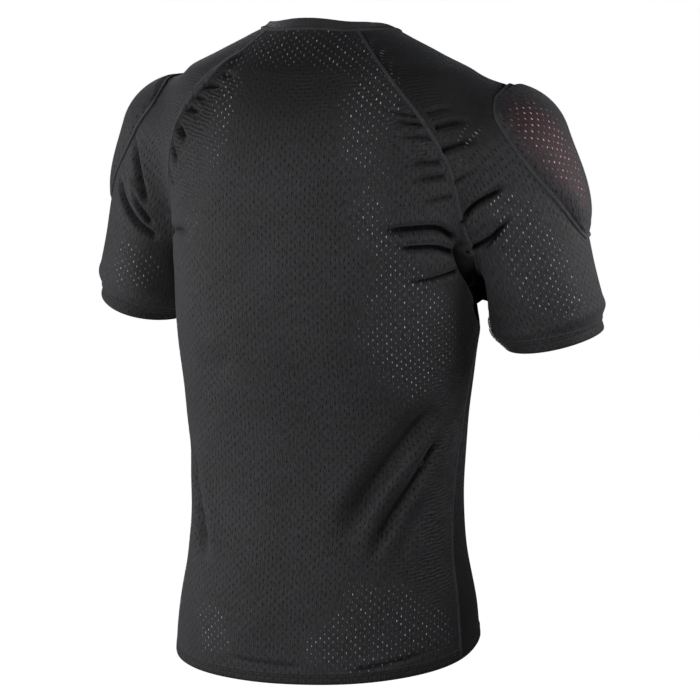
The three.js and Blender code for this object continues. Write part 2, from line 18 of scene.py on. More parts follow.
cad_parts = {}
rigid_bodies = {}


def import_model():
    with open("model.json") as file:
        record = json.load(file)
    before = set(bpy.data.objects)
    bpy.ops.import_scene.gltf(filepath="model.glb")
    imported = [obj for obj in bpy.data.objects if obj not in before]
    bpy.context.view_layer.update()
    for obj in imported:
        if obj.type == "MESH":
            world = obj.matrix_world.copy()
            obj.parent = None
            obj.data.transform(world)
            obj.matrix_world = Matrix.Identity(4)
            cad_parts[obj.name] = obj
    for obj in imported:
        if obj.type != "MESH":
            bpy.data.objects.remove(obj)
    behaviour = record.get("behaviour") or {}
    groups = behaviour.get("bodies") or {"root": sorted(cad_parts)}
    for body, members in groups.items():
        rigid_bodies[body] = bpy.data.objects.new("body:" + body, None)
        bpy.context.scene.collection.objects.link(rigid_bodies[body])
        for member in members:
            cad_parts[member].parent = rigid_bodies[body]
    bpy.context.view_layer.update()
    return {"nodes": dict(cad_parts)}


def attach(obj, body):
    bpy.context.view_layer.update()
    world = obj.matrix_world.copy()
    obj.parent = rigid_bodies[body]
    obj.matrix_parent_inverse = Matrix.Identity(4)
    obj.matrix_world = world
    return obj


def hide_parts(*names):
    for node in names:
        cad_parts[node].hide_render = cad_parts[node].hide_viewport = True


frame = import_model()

MM = 0.001
print("CAD nodes:", len(frame["nodes"]))

# %% [markdown]
# ## The camera
# The shirt is seen from behind, a little from its right side and a little from above. A long
# lens far away keeps the shape flat and calm, as product photographs do. The lens follows
# from the distance and from how many millimetres one pixel covers at the shirt's middle.

# %% Place the camera
VIEW_AZIMUTH = math.radians(202.0)
VIEW_ELEVATION = math.radians(9.5)
VIEW_DISTANCE = 3.2
VIEW_TARGET = Vector((0.0, 0.0, -0.338))
PICTURE_SIDE = 700
METRES_PER_PIXEL = 0.001046
TARGET_PIXEL = (328, 352)
SENSOR_WIDTH = 36


def from_angles(azimuth, elevation):
    """Returns the way from the shirt to someone who looks from these angles."""
    flat = math.cos(elevation)
    return Vector((math.sin(azimuth) * flat, -math.cos(azimuth) * flat, math.sin(elevation)))


def look_at(thing, place, target):
    """Puts a camera or a lamp at a place and turns it to a target."""
    thing.location = place
    thing.rotation_euler = (target - place).to_track_quat("-Z", "Y").to_euler()
    bpy.context.scene.collection.objects.link(thing)


camera = bpy.data.objects.new("camera", bpy.data.cameras.new("camera"))
camera.data.sensor_width = SENSOR_WIDTH
camera.data.lens = SENSOR_WIDTH * VIEW_DISTANCE / (METRES_PER_PIXEL * PICTURE_SIDE)
camera.data.shift_x = (PICTURE_SIDE / 2 - TARGET_PIXEL[0]) / PICTURE_SIDE
camera.data.shift_y = (TARGET_PIXEL[1] - PICTURE_SIDE / 2) / PICTURE_SIDE
camera.data.clip_end = 60
to_camera = from_angles(VIEW_AZIMUTH, VIEW_ELEVATION)
look_at(camera, VIEW_TARGET + to_camera * VIEW_DISTANCE, VIEW_TARGET)
bpy.context.scene.camera = camera
print("lens:", round(camera.data.lens, 1), "mm")

# %% [markdown]
# ## The light
# Black cloth shows its form by soft differences of light and not by shadows. A wide lamp
# behind the shirt lights its back, two at its left lift that edge, and three small ones close to
# the right arm light the arm and leave the right flank dark, because light from near falls off
# fast. A last lamp serves the front, which this camera doesn't see. The world is white to the
# camera and lights nothing. Each row has the angles from which a lamp shines, its distance, the
# side of its square, its power and the point it aims at.

# %% Light the studio
WORLD_STRENGTH = 1.0
BODY_MIDDLE = (0.0, 0.0, -0.338)
RIGHT_ARM = (-0.25, -0.03, -0.21)
LAMPS = {
    # name: azimuth, elevation, distance, side, watts, aim
    "lamp_back": (165, 5, 3.0, 1.2, 78, BODY_MIDDLE),
    "lamp_left": (95, 0, 2.0, 0.8, 14, BODY_MIDDLE),
    "lamp_left_near": (120, 2, 1.0, 0.5, 4.0, (0.1, 0.0, -0.45)),
    "lamp_arm": (250, 8, 0.75, 0.25, 1.2, (-0.23, -0.03, -0.22)),
    "lamp_arm_back": (222, 12, 0.4, 0.2, 0.88, RIGHT_ARM),
    "lamp_arm_side": (297, 12, 0.33, 0.2, 1.3, RIGHT_ARM),
    "lamp_front": (27, -12, 3.0, 0.9, 72, BODY_MIDDLE),
}
bpy.context.scene.view_settings.view_transform = "Standard"
world = bpy.data.worlds.new("studio")
world.use_nodes = True
world.node_tree.nodes["Background"].inputs["Color"].default_value = (1, 1, 1, 1)
world.node_tree.nodes["Background"].inputs["Strength"].default_value = WORLD_STRENGTH
world.cycles_visibility.diffuse = False
world.cycles_visibility.glossy = False
bpy.context.scene.world = world

for lamp_name, (azimuth, elevation, distance, side, watts, aim) in LAMPS.items():
    light = bpy.data.lights.new(lamp_name, "AREA")
    light.size = side
    light.energy = watts
    way = from_angles(math.radians(azimuth), math.radians(elevation))
    lamp_object = bpy.data.objects.new(lamp_name, light)
    lamp_object.visible_camera = False
    look_at(lamp_object, Vector(aim) + way * distance, Vector(aim))
print("lamps:", len(LAMPS))

# %% [markdown]
# ## The floor
# It glows enough to read white to the edge of the picture, and it is set not to light the shirt
# from below.

# %% Lay the floor
FLOOR_HEIGHT = -1.9
FLOOR_SIDE = 90.0
FLOOR_GLOW = 1.0


def plain_material(name, colour, roughness):
    """Returns a material with one Principled shader."""
    material = bpy.data.materials.new(name)
    material.use_nodes = True
    shader = material.node_tree.nodes["Principled BSDF"]
    shader.inputs["Base Color"].default_value = (*colour, 1)
    shader.inputs["Roughness"].default_value = roughness
    return material


floor_shape = bmesh.new()
bmesh.ops.create_grid(floor_shape, x_segments=1, y_segments=1, size=FLOOR_SIDE / 2)
bmesh.ops.translate(floor_shape, verts=floor_shape.verts, vec=(0, 0, FLOOR_HEIGHT))
floor_mesh = bpy.data.meshes.new("floor")
floor_shape.to_mesh(floor_mesh)
floor_shape.free()
floor = bpy.data.objects.new("floor", floor_mesh)
pale_floor = plain_material("pale_floor", (0.9, 0.9, 0.9), 0.9)
pale_floor.node_tree.nodes["Principled BSDF"].inputs["Emission Color"].default_value = (1, 1, 1, 1)
pale_floor.node_tree.nodes["Principled BSDF"].inputs["Emission Strength"].default_value = FLOOR_GLOW
floor.data.materials.append(pale_floor)
floor.visible_diffuse = False
floor.visible_glossy = False
bpy.context.scene.collection.objects.link(floor)

# %% [markdown]
# ## The figure under the cloth
# The cloth lies on a general figure: a torso with a smooth section at each height, and two
# tapered arms. Tables of sections hold the sizes in millimetres, as in the CAD model, and a
# smooth reader takes any place between two rows. Adding a row changes the shape in one place
# and leaves the rest as it was.

# %% Tables of the figure
TORSO = [
    # height, half width, front, back, middle, squareness
    (30, 56, 52, 50, 2, 2),
    (4, 60, 56, 53, 2, 2),
    (-8, 82, 63, 60, 2, 2),
    (-26, 119, 78, 74, 1, 2),
    (-44, 150, 90, 86, 0, 2.1),
    (-90, 164, 104, 103, 0, 2.3),
    (-150, 167, 114, 112, 2, 2.3),
    (-230, 161, 115, 112, 4, 2.3),
    (-310, 159, 112, 106, 6, 2.3),
    (-400, 150, 102, 96, 4, 2.3),
    (-480, 145, 96, 94, 2, 2.3),
    (-540, 148, 98, 100, 2, 2.3),
    (-610, 160, 102, 109, 0, 2.3),
    (-700, 166, 106, 112, 0, 2.3),
]
ARM = [
    # share of the arm's length, radius in its own plane, radius front to back
    (0, 62.5, 67),
    (0.35, 64, 66),
    (0.7, 60, 62),
    (0.86, 59, 60),
    (0.92, 59.5, 60),
    (0.96, 54.5, 58),
    (1, 49.5, 57),
]
BLENDS = [(0, 46), (-100, 44), (-200, 18), (-340, 18)]
STANCE = [(20, -0.02), (-60, 0), (-140, 0.01), (-300, 0.03), (-420, -0.015), (-700, -0.06)]
SHOULDER_JOINT = np.array([175.0, -36, -121])
CUFF_CENTRE = np.array([229.0, -54, -305])
CUFF_RADIUS = 49.5
CUFF_SLANT = 9


def smooth_table(rows):
    """Returns a function that reads a column of the rows at any places between them."""
    table = np.array(sorted(rows), float)
    keys = table[:, 0]
    ahead = np.minimum(np.arange(len(keys)) + 1, len(keys) - 1)
    behind = np.maximum(np.arange(len(keys)) - 1, 0)
    slopes = (table[ahead] - table[behind]) / (keys[ahead] - keys[behind])[:, None]

    def read(place, column):
        i = np.clip(np.searchsorted(keys, place, side="right") - 1, 0, len(keys) - 2)
        span = keys[i + 1] - keys[i]
        t = np.clip((place - keys[i]) / span, 0, 1)
        low = table[i, column]
        high = table[i + 1, column]
        bend = t * (1 - t) ** 2 * slopes[i, column] - t * t * (1 - t) * slopes[i + 1, column]
        return low + (high - low) * t * t * (3 - 2 * t) + bend * span

    return read


read_torso = smooth_table(TORSO)
read_arm = smooth_table(ARM)
read_blend = smooth_table(BLENDS)
read_stance = smooth_table(STANCE)
print("half width at the chest:", round(float(read_torso(-150.0, 1)), 1), "mm")

# %% [markdown]
# ## Distance fields
# A distance field says how far a point is outside a shape, and is below zero inside it. The
# torso and the arm each have one. Taking the smaller of the two joins them, and a little
# extra near the join rounds the crease, as stretched cloth rounds it. All the functions take
# whole arrays of points, because numpy works them out at once.

# %% Fields of the torso and the arms


def unit(v):
    """Returns vectors of length one."""
    return v / np.maximum(1e-9, np.linalg.norm(v, axis=-1, keepdims=True))


def dot(a, b):
    """Returns the scalar products of two arrays of vectors."""
    return np.sum(a * b, axis=-1)


ARM_LENGTH = float(np.linalg.norm(CUFF_CENTRE - SHOULDER_JOINT))
ARM_WAY = unit(CUFF_CENTRE - SHOULDER_JOINT)
ARM_BACK = unit(np.array([0.0, 1, 0]) - ARM_WAY * ARM_WAY[1])
ARM_OUT = np.cross(ARM_WAY, ARM_BACK)
ARM_OUT = ARM_OUT * np.sign(ARM_OUT[0])


def torso_field(p):
    z = p[..., 2]
    y = p[..., 1] - read_torso(z, 4)
    squareness = read_torso(z, 5)
    depth = np.where(y > 0, read_torso(z, 3), read_torso(z, 2))
    share = np.abs(p[..., 0] / read_torso(z, 1)) ** squareness + np.abs(y / depth) ** squareness
    rho = np.maximum(1e-6, share ** (1 / squareness))
    return np.hypot(p[..., 0], y) * (1 - 1 / rho)


def arm_field(p):
    d = np.array(p, float)
    d[..., 0] = np.abs(d[..., 0])
    d = d - SHOULDER_JOINT
    along = dot(d, ARM_WAY)
    at = np.clip(along / ARM_LENGTH, 0, 1)
    out = dot(d, ARM_OUT)
    back = dot(d, ARM_BACK)
    cap = np.minimum(0, along)
    rho = np.sqrt((out / read_arm(at, 1)) ** 2 + (back / read_arm(at, 2)) ** 2 + (cap / ARM[0][1]) ** 2)
    reach = np.sqrt(out**2 + back**2 + cap**2)
    return reach * (1 - 1 / np.maximum(1e-6, rho))


def crease_fill(p, difference):
    width = read_blend(p[..., 2], 1)
    near = np.maximum(0, width - difference) / width
    return near * near * width / 4


def figure_field(p):
    torso = torso_field(p)
    arm = arm_field(p)
    return np.minimum(torso, arm) - crease_fill(p, np.abs(torso - arm))


def torso_side_field(p):
    torso = torso_field(p)
    return torso - crease_fill(p, np.maximum(0, arm_field(p) - torso))


def arm_side_field(p):
    arm = arm_field(p)
    return arm - crease_fill(p, np.maximum(0, torso_field(p) - arm))


def normals_of(p, probe=0.4):
    """Returns the way out of the figure at points, and the field's steepness there."""
    slope = np.zeros_like(p)
    for axis in range(3):
        step = np.zeros(3)
        step[axis] = probe
        slope[..., axis] = (figure_field(p + step) - figure_field(p - step)) / (2 * probe)
    return unit(slope), slope


SETTLING_STEPS = 14
RAY_STRIDE = 6.0
RAY_END = 400.0


def onto_figure(p):
    """Moves points onto the figure along the field's slope."""
    p = np.array(p, float)
    for _ in range(SETTLING_STEPS):
        _, slope = normals_of(p)
        step = figure_field(p) / np.maximum(0.2, dot(slope, slope))
        p = p - slope * np.clip(step, -12, 12)[..., None]
    return p


def cast_out(centre, through, field):
    """Returns where lines from inside a field, through second points, first leave it."""
    way = unit(through - centre)
    flat_way = way.reshape(-1, 3)
    flat_centre = np.broadcast_to(centre, way.shape).reshape(-1, 3)
    outside = np.full(len(flat_way), RAY_END)
    going = np.arange(len(flat_way))
    for distance in np.arange(RAY_STRIDE, RAY_END, RAY_STRIDE):
        out = field(flat_centre[going] + flat_way[going] * distance) >= 0
        outside[going[out]] = distance
        going = going[~out]
        if len(going) == 0:
            break
    inside = outside - RAY_STRIDE
    for _ in range(SETTLING_STEPS):
        middle = (inside + outside) / 2
        within = field(flat_centre + flat_way * middle[:, None]) < 0
        inside = np.where(within, middle, inside)
        outside = np.where(within, outside, middle)
    return (flat_centre + flat_way * outside[:, None]).reshape(way.shape)


print("arm length:", round(ARM_LENGTH), "mm")

# %% [markdown]
# ## Seam lines
# Seams decide where one cut piece ends and the next begins. Each is a smooth curve through a
# few points, seated on the figure. The neckline and the hem are closed rings whose height
# changes round the body. The armpit is where the raglan seams, the side seam and the
# underarm seam meet.

# %% Seam curves
NECKLINE = {"back": 4, "side": -17, "front": -52}
HEMLINE = {"back": -667, "side": -648, "front": -630}
BACK_NECK_ANGLE = 50
FRONT_NECK_ANGLE = 62
SIDE_HEM_ANGLE = 73
ARMPIT = (159, -28, -268)
BACK_RAGLAN = [(96, 76, -34), (139, 80, -84), (162, 66, -132), (166, 42, -186), (166, 8, -232)]
FRONT_RAGLAN = [(92, -80, -48), (120, -98, -104), (136, -92, -166), (144, -66, -232)]
SIDE_SEAM = [(159, -14, -310), (150, 6, -400), (142, 18, -500), (154, 28, -590)]


def ring_points(degrees, line, half, depth):
    """Returns points of a closed ring round the body, from the middle back."""
    a = np.radians(np.asarray(degrees, float))
    swing = (line["back"] - line["front"]) / 2
    middle = (line["back"] + line["front"]) / 2
    twist = (middle - line["side"]) / 2
    z = middle - twist + swing * np.cos(a) + twist * np.cos(2 * a)
    return onto_figure(np.stack([half * np.sin(a), depth * np.cos(a), z], -1))


def neckline_points(degrees):
    return ring_points(degrees, NECKLINE, 62, 62)


def hem_points(degrees):
    return ring_points(degrees, HEMLINE, 165, 108)


def smooth_curve(points):
    """Returns a smooth curve through points, as a function of the share of its length."""
    p = np.array(points, float)
    p = np.vstack([2 * p[0] - p[1], p, 2 * p[-1] - p[-2]])
    fine = []
    for i in range(len(p) - 3):
        steps = np.sqrt(np.linalg.norm(np.diff(p[i : i + 4], axis=0), axis=1))
        t = np.linspace(0, 1, 120, endpoint=i == len(p) - 4)[:, None]
        start = (p[i + 1] - p[i]) / steps[0] - (p[i + 2] - p[i]) / (steps[0] + steps[1])
        start = (start + (p[i + 2] - p[i + 1]) / steps[1]) * steps[1]
        end = (p[i + 2] - p[i + 1]) / steps[1] - (p[i + 3] - p[i + 1]) / (steps[1] + steps[2])
        end = (end + (p[i + 3] - p[i + 2]) / steps[2]) * steps[1]
        gap = p[i + 2] - p[i + 1]
        place = p[i + 1] + start * t + (3 * gap - 2 * start - end) * t**2
        fine.append(place + (start + end - 2 * gap) * t**3)
    fine = np.vstack(fine)
    passed = np.concatenate([[0], np.cumsum(np.linalg.norm(np.diff(fine, axis=0), axis=1))])
    passed = passed / passed[-1]

    def at(t):
        t = np.asarray(t, float)
        return np.stack([np.interp(t, passed, fine[:, axis]) for axis in range(3)], -1)

    return at


def seam_curve(points):
    curve = smooth_curve(onto_figure(points))
    return lambda t: onto_figure(curve(t))


def joined(first, second, split):
    """Returns two curves end to end as one, where the first takes the share split."""

    def at(t):
        t = np.asarray(t, float)
        low = first(np.clip(t / split, 0, 1))
        high = second(np.clip((t - split) / (1 - split), 0, 1))
        return np.where((t < split)[..., None], low, high)

    return at


back_raglan = seam_curve([neckline_points(BACK_NECK_ANGLE), *BACK_RAGLAN, ARMPIT])
front_raglan = seam_curve([neckline_points(180 - FRONT_NECK_ANGLE), *FRONT_RAGLAN, ARMPIT])
side_seam = seam_curve([ARMPIT, *SIDE_SEAM, hem_points(SIDE_HEM_ANGLE)])
CUFF_UNDER = CUFF_CENTRE - ARM_OUT * CUFF_RADIUS - ARM_WAY * CUFF_SLANT / 3
underarm_seam = seam_curve([ARMPIT, (np.array(ARMPIT) + CUFF_UNDER) / 2, CUFF_UNDER])
MIRROR = np.array([-1.0, 1, 1])
print("raglan starts at", np.round(back_raglan(0.0)), "and ends at", np.round(back_raglan(1.0)))

# %% [markdown]
# ## Creases
# Where a sleeve meets the body the knit bunches into crisp creases, and over the waist it
# falls in broad soft ones. Each crease is a line through points beside the cloth. A point of
# the cloth sinks by how near it is to the line, so two pieces that share a seam sink alike.
# The first number is the reach of the crease, the second its depth, and the next two say how
# much of its length it takes to come in and to run out.

# %% Table of creases
CREASES = [
    # right armpit, back
    (4.2, 8.0, 0.3, 0.1, [(-92, 103, -196), (-120, 86, -193), (-148, 65, -194), (-160, 43, -207)]),
    (3.6, 7.0, 0.3, 0.1, [(-107, 97, -213), (-130, 82, -212), (-146, 68, -213), (-160, 43, -221)]),
    (3.0, 4.6, 0.4, 0.1, [(-112, 93, -248), (-136, 76, -246), (-152, 58, -242), (-161, 38, -238)]),
    (8.0, -2.0, 0.4, 0.25, [(-104, 98, -204), (-130, 82, -203), (-152, 60, -206)]),
    (9.0, -2.5, 0.4, 0.25, [(-112, 94, -229), (-136, 76, -229), (-156, 50, -231)]),
    # the deep folds where each arm meets the body
    (9.0, 13.0, 0.3, 0.1, [
        (-159, 48, -200), (-162, 34, -226), (-164, 16, -246), (-160, -8, -262), (-159, -28, -268)
    ]),
    (9.0, 11.0, 0.3, 0.1, [
        (163, 44, -206), (165, 30, -228), (165, 12, -246), (160, -8, -262), (159, -28, -268)
    ]),
    (7.0, 7.0, 0.35, 0.2, [(146, -72, -222), (152, -60, -244), (157, -44, -260), (159, -28, -268)]),
    (7.0, 7.0, 0.35, 0.2, [(-146, -72, -222), (-152, -60, -244), (-157, -44, -260), (-159, -28, -268)]),
    # the top of the gap between each arm and the body
    (11.0, 12.0, 0.3, 0.3, [(-163, 8, -270), (-161, -25, -281), (-162, -56, -272)]),
    (11.0, 10.0, 0.3, 0.3, [(163, 8, -270), (161, -25, -281), (162, -56, -272)]),
    # right sleeve, back
    (3.4, 6.5, 0.05, 0.35, [(-162, 40, -195), (-172, 36, -179), (-182, 34, -168), (-209, 30, -151)]),
    (3.2, 6.0, 0.05, 0.4, [(-166, 25, -226), (-178, 24, -212), (-188, 25, -204), (-214, 26, -182)]),
    (9.0, -2.5, 0.2, 0.5, [(-167, 31, -208), (-183, 31, -190), (-206, 30, -170)]),
    (2.4, 2.4, 0.2, 0.4, [(-176, 22, -222), (-192, 23, -206), (-206, 24, -196)]),
    # right raglan seam: puckers of the sleeve, then of the body
    (3.2, 4.6, 0.03, 0.5, [(-140, 63, -93), (-155, 52, -89), (-171, 35, -86)]),
    (3.6, 5.4, 0.03, 0.5, [(-147, 62, -116), (-164, 48, -110), (-184, 34, -103)]),
    (2.6, 2.8, 0.03, 0.6, [(-155, 53, -150), (-166, 45, -144), (-178, 37, -137)]),
    (2.6, 2.2, 0.03, 0.6, [(-133, 66, -78), (-146, 55, -74), (-158, 44, -72)]),
    (2.6, 2.8, 0.03, 0.6, [(-127, 74, -80), (-112, 82, -77), (-92, 88, -73)]),
    (2.8, 3.8, 0.03, 0.6, [(-134, 70, -90), (-117, 80, -87), (-98, 90, -84)]),
    (2.6, 3.0, 0.03, 0.6, [(-141, 67, -103), (-122, 80, -101), (-104, 91, -100)]),
    (3.0, 3.6, 0.03, 0.6, [(-148, 63, -127), (-130, 78, -127), (-112, 91, -130)]),
    (3.0, 3.6, 0.03, 0.6, [(-152, 59, -141), (-134, 76, -143), (-116, 89, -146)]),
    (2.6, 2.6, 0.03, 0.6, [(-156, 53, -162), (-140, 70, -165), (-124, 84, -170)]),
    # left raglan seam: the lit fold along it, then puckers of the body
    (7.0, -3.0, 0.15, 0.25, [
        (70, 62, -16), (96, 74, -37), (122, 77, -62), (141, 74, -90), (156, 64, -122)
    ]),
    (3.4, 3.4, 0.03, 0.6, [(88, 78, -42), (78, 82, -43), (66, 84, -44)]),
    (3.4, 4.8, 0.03, 0.6, [(107, 74, -57), (96, 79, -56), (80, 84, -55)]),
    (2.6, 3.0, 0.03, 0.6, [(118, 73, -69), (108, 78, -70), (96, 83, -71)]),
    (3.4, 4.8, 0.03, 0.6, [(127, 71, -80), (116, 78, -83), (102, 85, -85)]),
    (4.2, 6.0, 0.03, 0.6, [(139, 68, -99), (131, 74, -107), (119, 81, -116)]),
    (4.2, 5.0, 0.03, 0.6, [(149, 61, -118), (142, 68, -129), (132, 76, -142)]),
    (3.4, 3.2, 0.03, 0.6, [(158, 56, -146), (150, 66, -156), (140, 76, -168)]),
    # left sleeve, back
    (4.4, 4.6, 0.4, 0.15, [(213, 26, -108), (212, 27, -130), (207, 29, -152), (196, 28, -190)]),
    (4.6, 5.0, 0.3, 0.1, [(238, 8, -154), (231, 15, -180), (214, 21, -204), (186, 17, -226)]),
    (3.4, 4.0, 0.4, 0.2, [(214, 24, -172), (206, 25, -190), (190, 21, -212)]),
    (7.0, -2.4, 0.4, 0.3, [(220, 22, -150), (214, 25, -176), (198, 24, -201)]),
    # left armpit, back
    (4.0, 4.0, 0.5, 0.1, [(108, 98, -206), (136, 76, -206), (162, 40, -214)]),
    # broad folds over the waist and hips
    (12.0, 10.0, 0.2, 0.35, [(-143, 50, -368), (-106, 74, -422), (-72, 86, -474), (-50, 96, -530)]),
    (7.0, 7.0, 0.15, 0.3, [(-141, 43, -406), (-119, 62, -455), (-96, 78, -498), (-80, 92, -544)]),
    (8.0, -2.6, 0.3, 0.4, [(-138, 52, -392), (-112, 70, -436), (-84, 83, -480), (-62, 92, -524)]),
    (9.0, 2.6, 0.3, 0.4, [(-132, 44, -462), (-114, 64, -508), (-102, 78, -556)]),
    (12.0, 9.0, 0.35, 0.35, [(138, 47, -424), (128, 54, -476), (115, 68, -520), (100, 84, -566)]),
    (12.0, -2.5, 0.3, 0.3, [(118, 66, -446), (104, 76, -500), (90, 88, -552)]),
    (14.0, 2.5, 0.4, 0.4, [(118, 84, -322), (88, 97, -342), (56, 108, -330)]),
    (2.4, 2.6, 0.2, 0.3, [(-64, 106, -650), (-104, 93, -640), (-143, 65, -629)]),
    (2.4, 2.0, 0.3, 0.3, [(74, 105, -647), (24, 111, -648), (-26, 112, -648)]),
    # front
    (4.2, 6.0, 0.35, 0.15, [(88, -108, -196), (130, -92, -203), (146, -64, -222)]),
    (3.4, 4.8, 0.35, 0.15, [(104, -102, -226), (132, -86, -232), (150, -52, -246)]),
    (4.0, 5.4, 0.35, 0.15, [(-92, -107, -188), (-128, -94, -196), (-143, -70, -214)]),
    (3.2, 4.2, 0.35, 0.15, [(-106, -101, -222), (-134, -84, -228), (-150, -50, -244)]),
    (3.4, 4.8, 0.1, 0.4, [(-150, -76, -190), (-176, -88, -168), (-206, -92, -150)]),
    (2.8, 3.6, 0.1, 0.4, [(-158, -68, -212), (-180, -82, -196), (-204, -88, -182)]),
    (3.4, 4.8, 0.1, 0.4, [(152, -74, -196), (180, -88, -176), (212, -90, -158)]),
    (2.8, 3.6, 0.1, 0.4, [(160, -66, -216), (182, -82, -202), (206, -88, -190)]),
    (3.0, 3.4, 0.03, 0.7, [(112, -93, -86), (98, -98, -86), (82, -99, -84)]),
    (3.0, 3.0, 0.03, 0.7, [(122, -95, -106), (106, -101, -108), (90, -104, -108)]),
    (3.0, 3.4, 0.03, 0.7, [(127, -95, -126), (112, -103, -130), (94, -108, -132)]),
    (3.0, 3.4, 0.03, 0.7, [(-112, -93, -88), (-98, -98, -90), (-80, -99, -90)]),
    (3.0, 3.4, 0.03, 0.7, [(-126, -95, -122), (-110, -103, -124), (-92, -108, -128)]),
    (3.0, 2.8, 0.03, 0.7, [(-136, -90, -150), (-120, -100, -154), (-104, -106, -160)]),
    (12.0, 6.5, 0.3, 0.4, [(124, -66, -396), (94, -82, -446), (58, -92, -532)]),
    (13.0, 6.0, 0.3, 0.4, [(-126, -64, -420), (-106, -76, -482), (-84, -86, -556)]),
    (8.0, 4.0, 0.3, 0.4, [(142, -44, -420), (122, -66, -470), (92, -84, -540)]),
    (16.0, 3.0, 0.3, 0.3, [(-60, -106, -350), (0, -112, -372), (64, -106, -356)]),
    (2.8, 2.6, 0.3, 0.3, [(-70, -104, -622), (-20, -108, -618), (40, -108, -618)]),
]

CLOTH_OUTSIDE = 1.5
CREASE_LEGS = 20
# Painted shade: the creases' shade is painted into the knit's colour and takes away its gloss.
FULL_SHADE = 1.7
RIDGE_SHADE = -0.3


def ramp(t):
    """Returns a soft step from 0 to 1."""
    t = np.clip(t, 0, 1)
    return t * t * (3 - 2 * t)


def standing(p):
    """Leans finished points with the wearer's stance."""
    out = np.array(p, float)
    out[..., 2] += read_stance(p[..., 2], 1) * p[..., 0]
    return out


def on_cloth(p):
    """Moves points near the standing shirt onto the outer face of its cloth."""
    upright = np.array(p, float)
    upright[..., 2] -= read_stance(upright[..., 2], 1) * upright[..., 0]
    upright = onto_figure(upright)
    normal, _ = normals_of(upright)
    return standing(upright + normal * CLOTH_OUTSIDE)


CREASE_LINES = [
    (*crease[:4], on_cloth(smooth_curve(crease[4])(np.linspace(0, 1, CREASE_LEGS + 1))))
    for crease in CREASES
]


def creases_at(p):
    """Returns how far the creases sink the cloth at points, and how much shade they hold.

    The sides of a crease rise a little. The shade is deepest on the line and thins out fast
    beside it. A ridge has a depth below zero and is a little paler.
    """
    flat = p.reshape(-1, 3)
    depth = np.zeros(len(flat))
    shade = np.zeros(len(flat))
    for reach, sink, come_in, run_out, line in CREASE_LINES:
        far = reach * 6
        low = line.min(axis=0) - far
        high = line.max(axis=0) + far
        near = np.flatnonzero(np.all((flat > low) & (flat < high), axis=1))
        if len(near) == 0:
            continue
        start = line[:-1]
        leg = np.diff(line, axis=0)
        offset = flat[near][:, None] - start
        t = np.clip(dot(offset, leg) / dot(leg, leg), 0, 1)
        gap = np.linalg.norm(offset - leg * t[..., None], axis=-1)
        best = np.argmin(gap, axis=1)
        rows = np.arange(len(near))
        along = (best + t[rows, best]) / len(leg)
        ends = ramp(along / come_in) * ramp((1 - along) / run_out)
        away = gap[rows, best] / reach
        profile = 1.3 * np.exp(-(away**2)) - 0.3 * np.exp(-((away / 2.6) ** 2))
        depth[near] += sink * profile * ends
        line_shade = 0.6 * np.exp(-((away / 0.6) ** 2)) + 0.4 * np.exp(-((away / 1.4) ** 2))
        shade[near] += sink / reach * line_shade * ends
    return depth.reshape(p.shape[:-1]), shade.reshape(p.shape[:-1])


def slack(p):
    """Returns a slow, small unevenness, because no worn cloth is perfectly smooth."""
    x = p[..., 0]
    y = p[..., 1]
    z = p[..., 2]
    waves = np.sin(x / 17 + z / 29 + 1.3) * np.sin(z / 23 - y / 31)
    waves = waves + 0.6 * np.sin(z / 11 + x / 37 + 0.4) * np.sin(x / 19 - y / 15)
    return 0.28 * waves


print("creases:", len(CREASES))

# %% [markdown]
# ## From figure points to cloth
# One function turns a grid of points on the figure into the outer face of a piece: the cloth
# stands off the figure by its own thickness, sinks at the creases, and leans with the
# wearer's stance. It also measures the way across and up the cloth in millimetres, which
# becomes the UV map, so the knit has the same size everywhere.

# %% Lay a surface


def arc_map(points, zero_row, zero_column):
    """Returns how far each grid point is across and up the cloth, in millimetres."""
    across_step = np.diff(points, axis=1)
    across = np.zeros(points.shape[:2])
    across[:, 1:] = np.cumsum(np.linalg.norm(across_step, axis=-1), axis=1)
    across = across - across[:, zero_column : zero_column + 1]
    row_way = unit(np.gradient(points, axis=1))
    up_step = np.diff(points, axis=0)
    middle_way = unit(row_way[1:] + row_way[:-1])
    up_step = up_step - middle_way * dot(up_step, middle_way)[..., None]
    up = np.zeros(points.shape[:2])
    up[1:] = np.cumsum(np.linalg.norm(up_step, axis=-1), axis=0)
    up = up - up[zero_row : zero_row + 1]
    return np.stack([across, up], -1)


def cloth_points(grid, rise):
    """Returns the standing cloth over figure points, the ways out, and the creases' shade."""
    normal, _ = normals_of(grid)
    near_cloth = standing(grid + normal * CLOTH_OUTSIDE)
    depth, shade = creases_at(near_cloth)
    out = CLOTH_OUTSIDE + rise - depth + slack(near_cloth)
    return standing(grid + normal * np.asarray(out)[..., None]), normal, shade


def lay_surface(grid, rise=0.0, zero_row=0, zero_column=None):
    """Returns a cloth surface: its points, normals, UV in millimetres and masks."""
    if zero_column is None:
        zero_column = grid.shape[1] // 2
    points, normal, shade = cloth_points(grid, rise)
    return {
        "points": points,
        "normal": normal,
        "uv": arc_map(grid, zero_row, zero_column),
        # the creases' painted shade
        "masks": {"fold": np.clip(shade / FULL_SHADE, RIDGE_SHADE, 1)},
    }


# %% [markdown]
# ## Cutting the body panels
# A panel is a grid between four edges. The height and the turn about the body of each inner
# point are blended from the edges, which keeps the rows level and the columns upright, and a
# ray from the body's axis then finds the cloth. The rows are closer together at the hem and
# by the armpits, where small folds need finer faces. The sheet goes on past the hem: it folds
# under and runs up inside as a strip, as a turned-up hem is sewn.

# %% Body panels
BODY_FLATNESS = 1.45
ARMPIT_SHARE = 0.64
HEM_BAND = 11
TURN_UP_ROWS = 16
FOLD_ROWS = 5
FOLD_RADIUS = 0.8
BAND_STITCH_INSETS = (2.2, 5.4)
GROOVE_HALF_WIDTH = 0.9


def mixed(a, b, t):
    return a + (b - a) * t


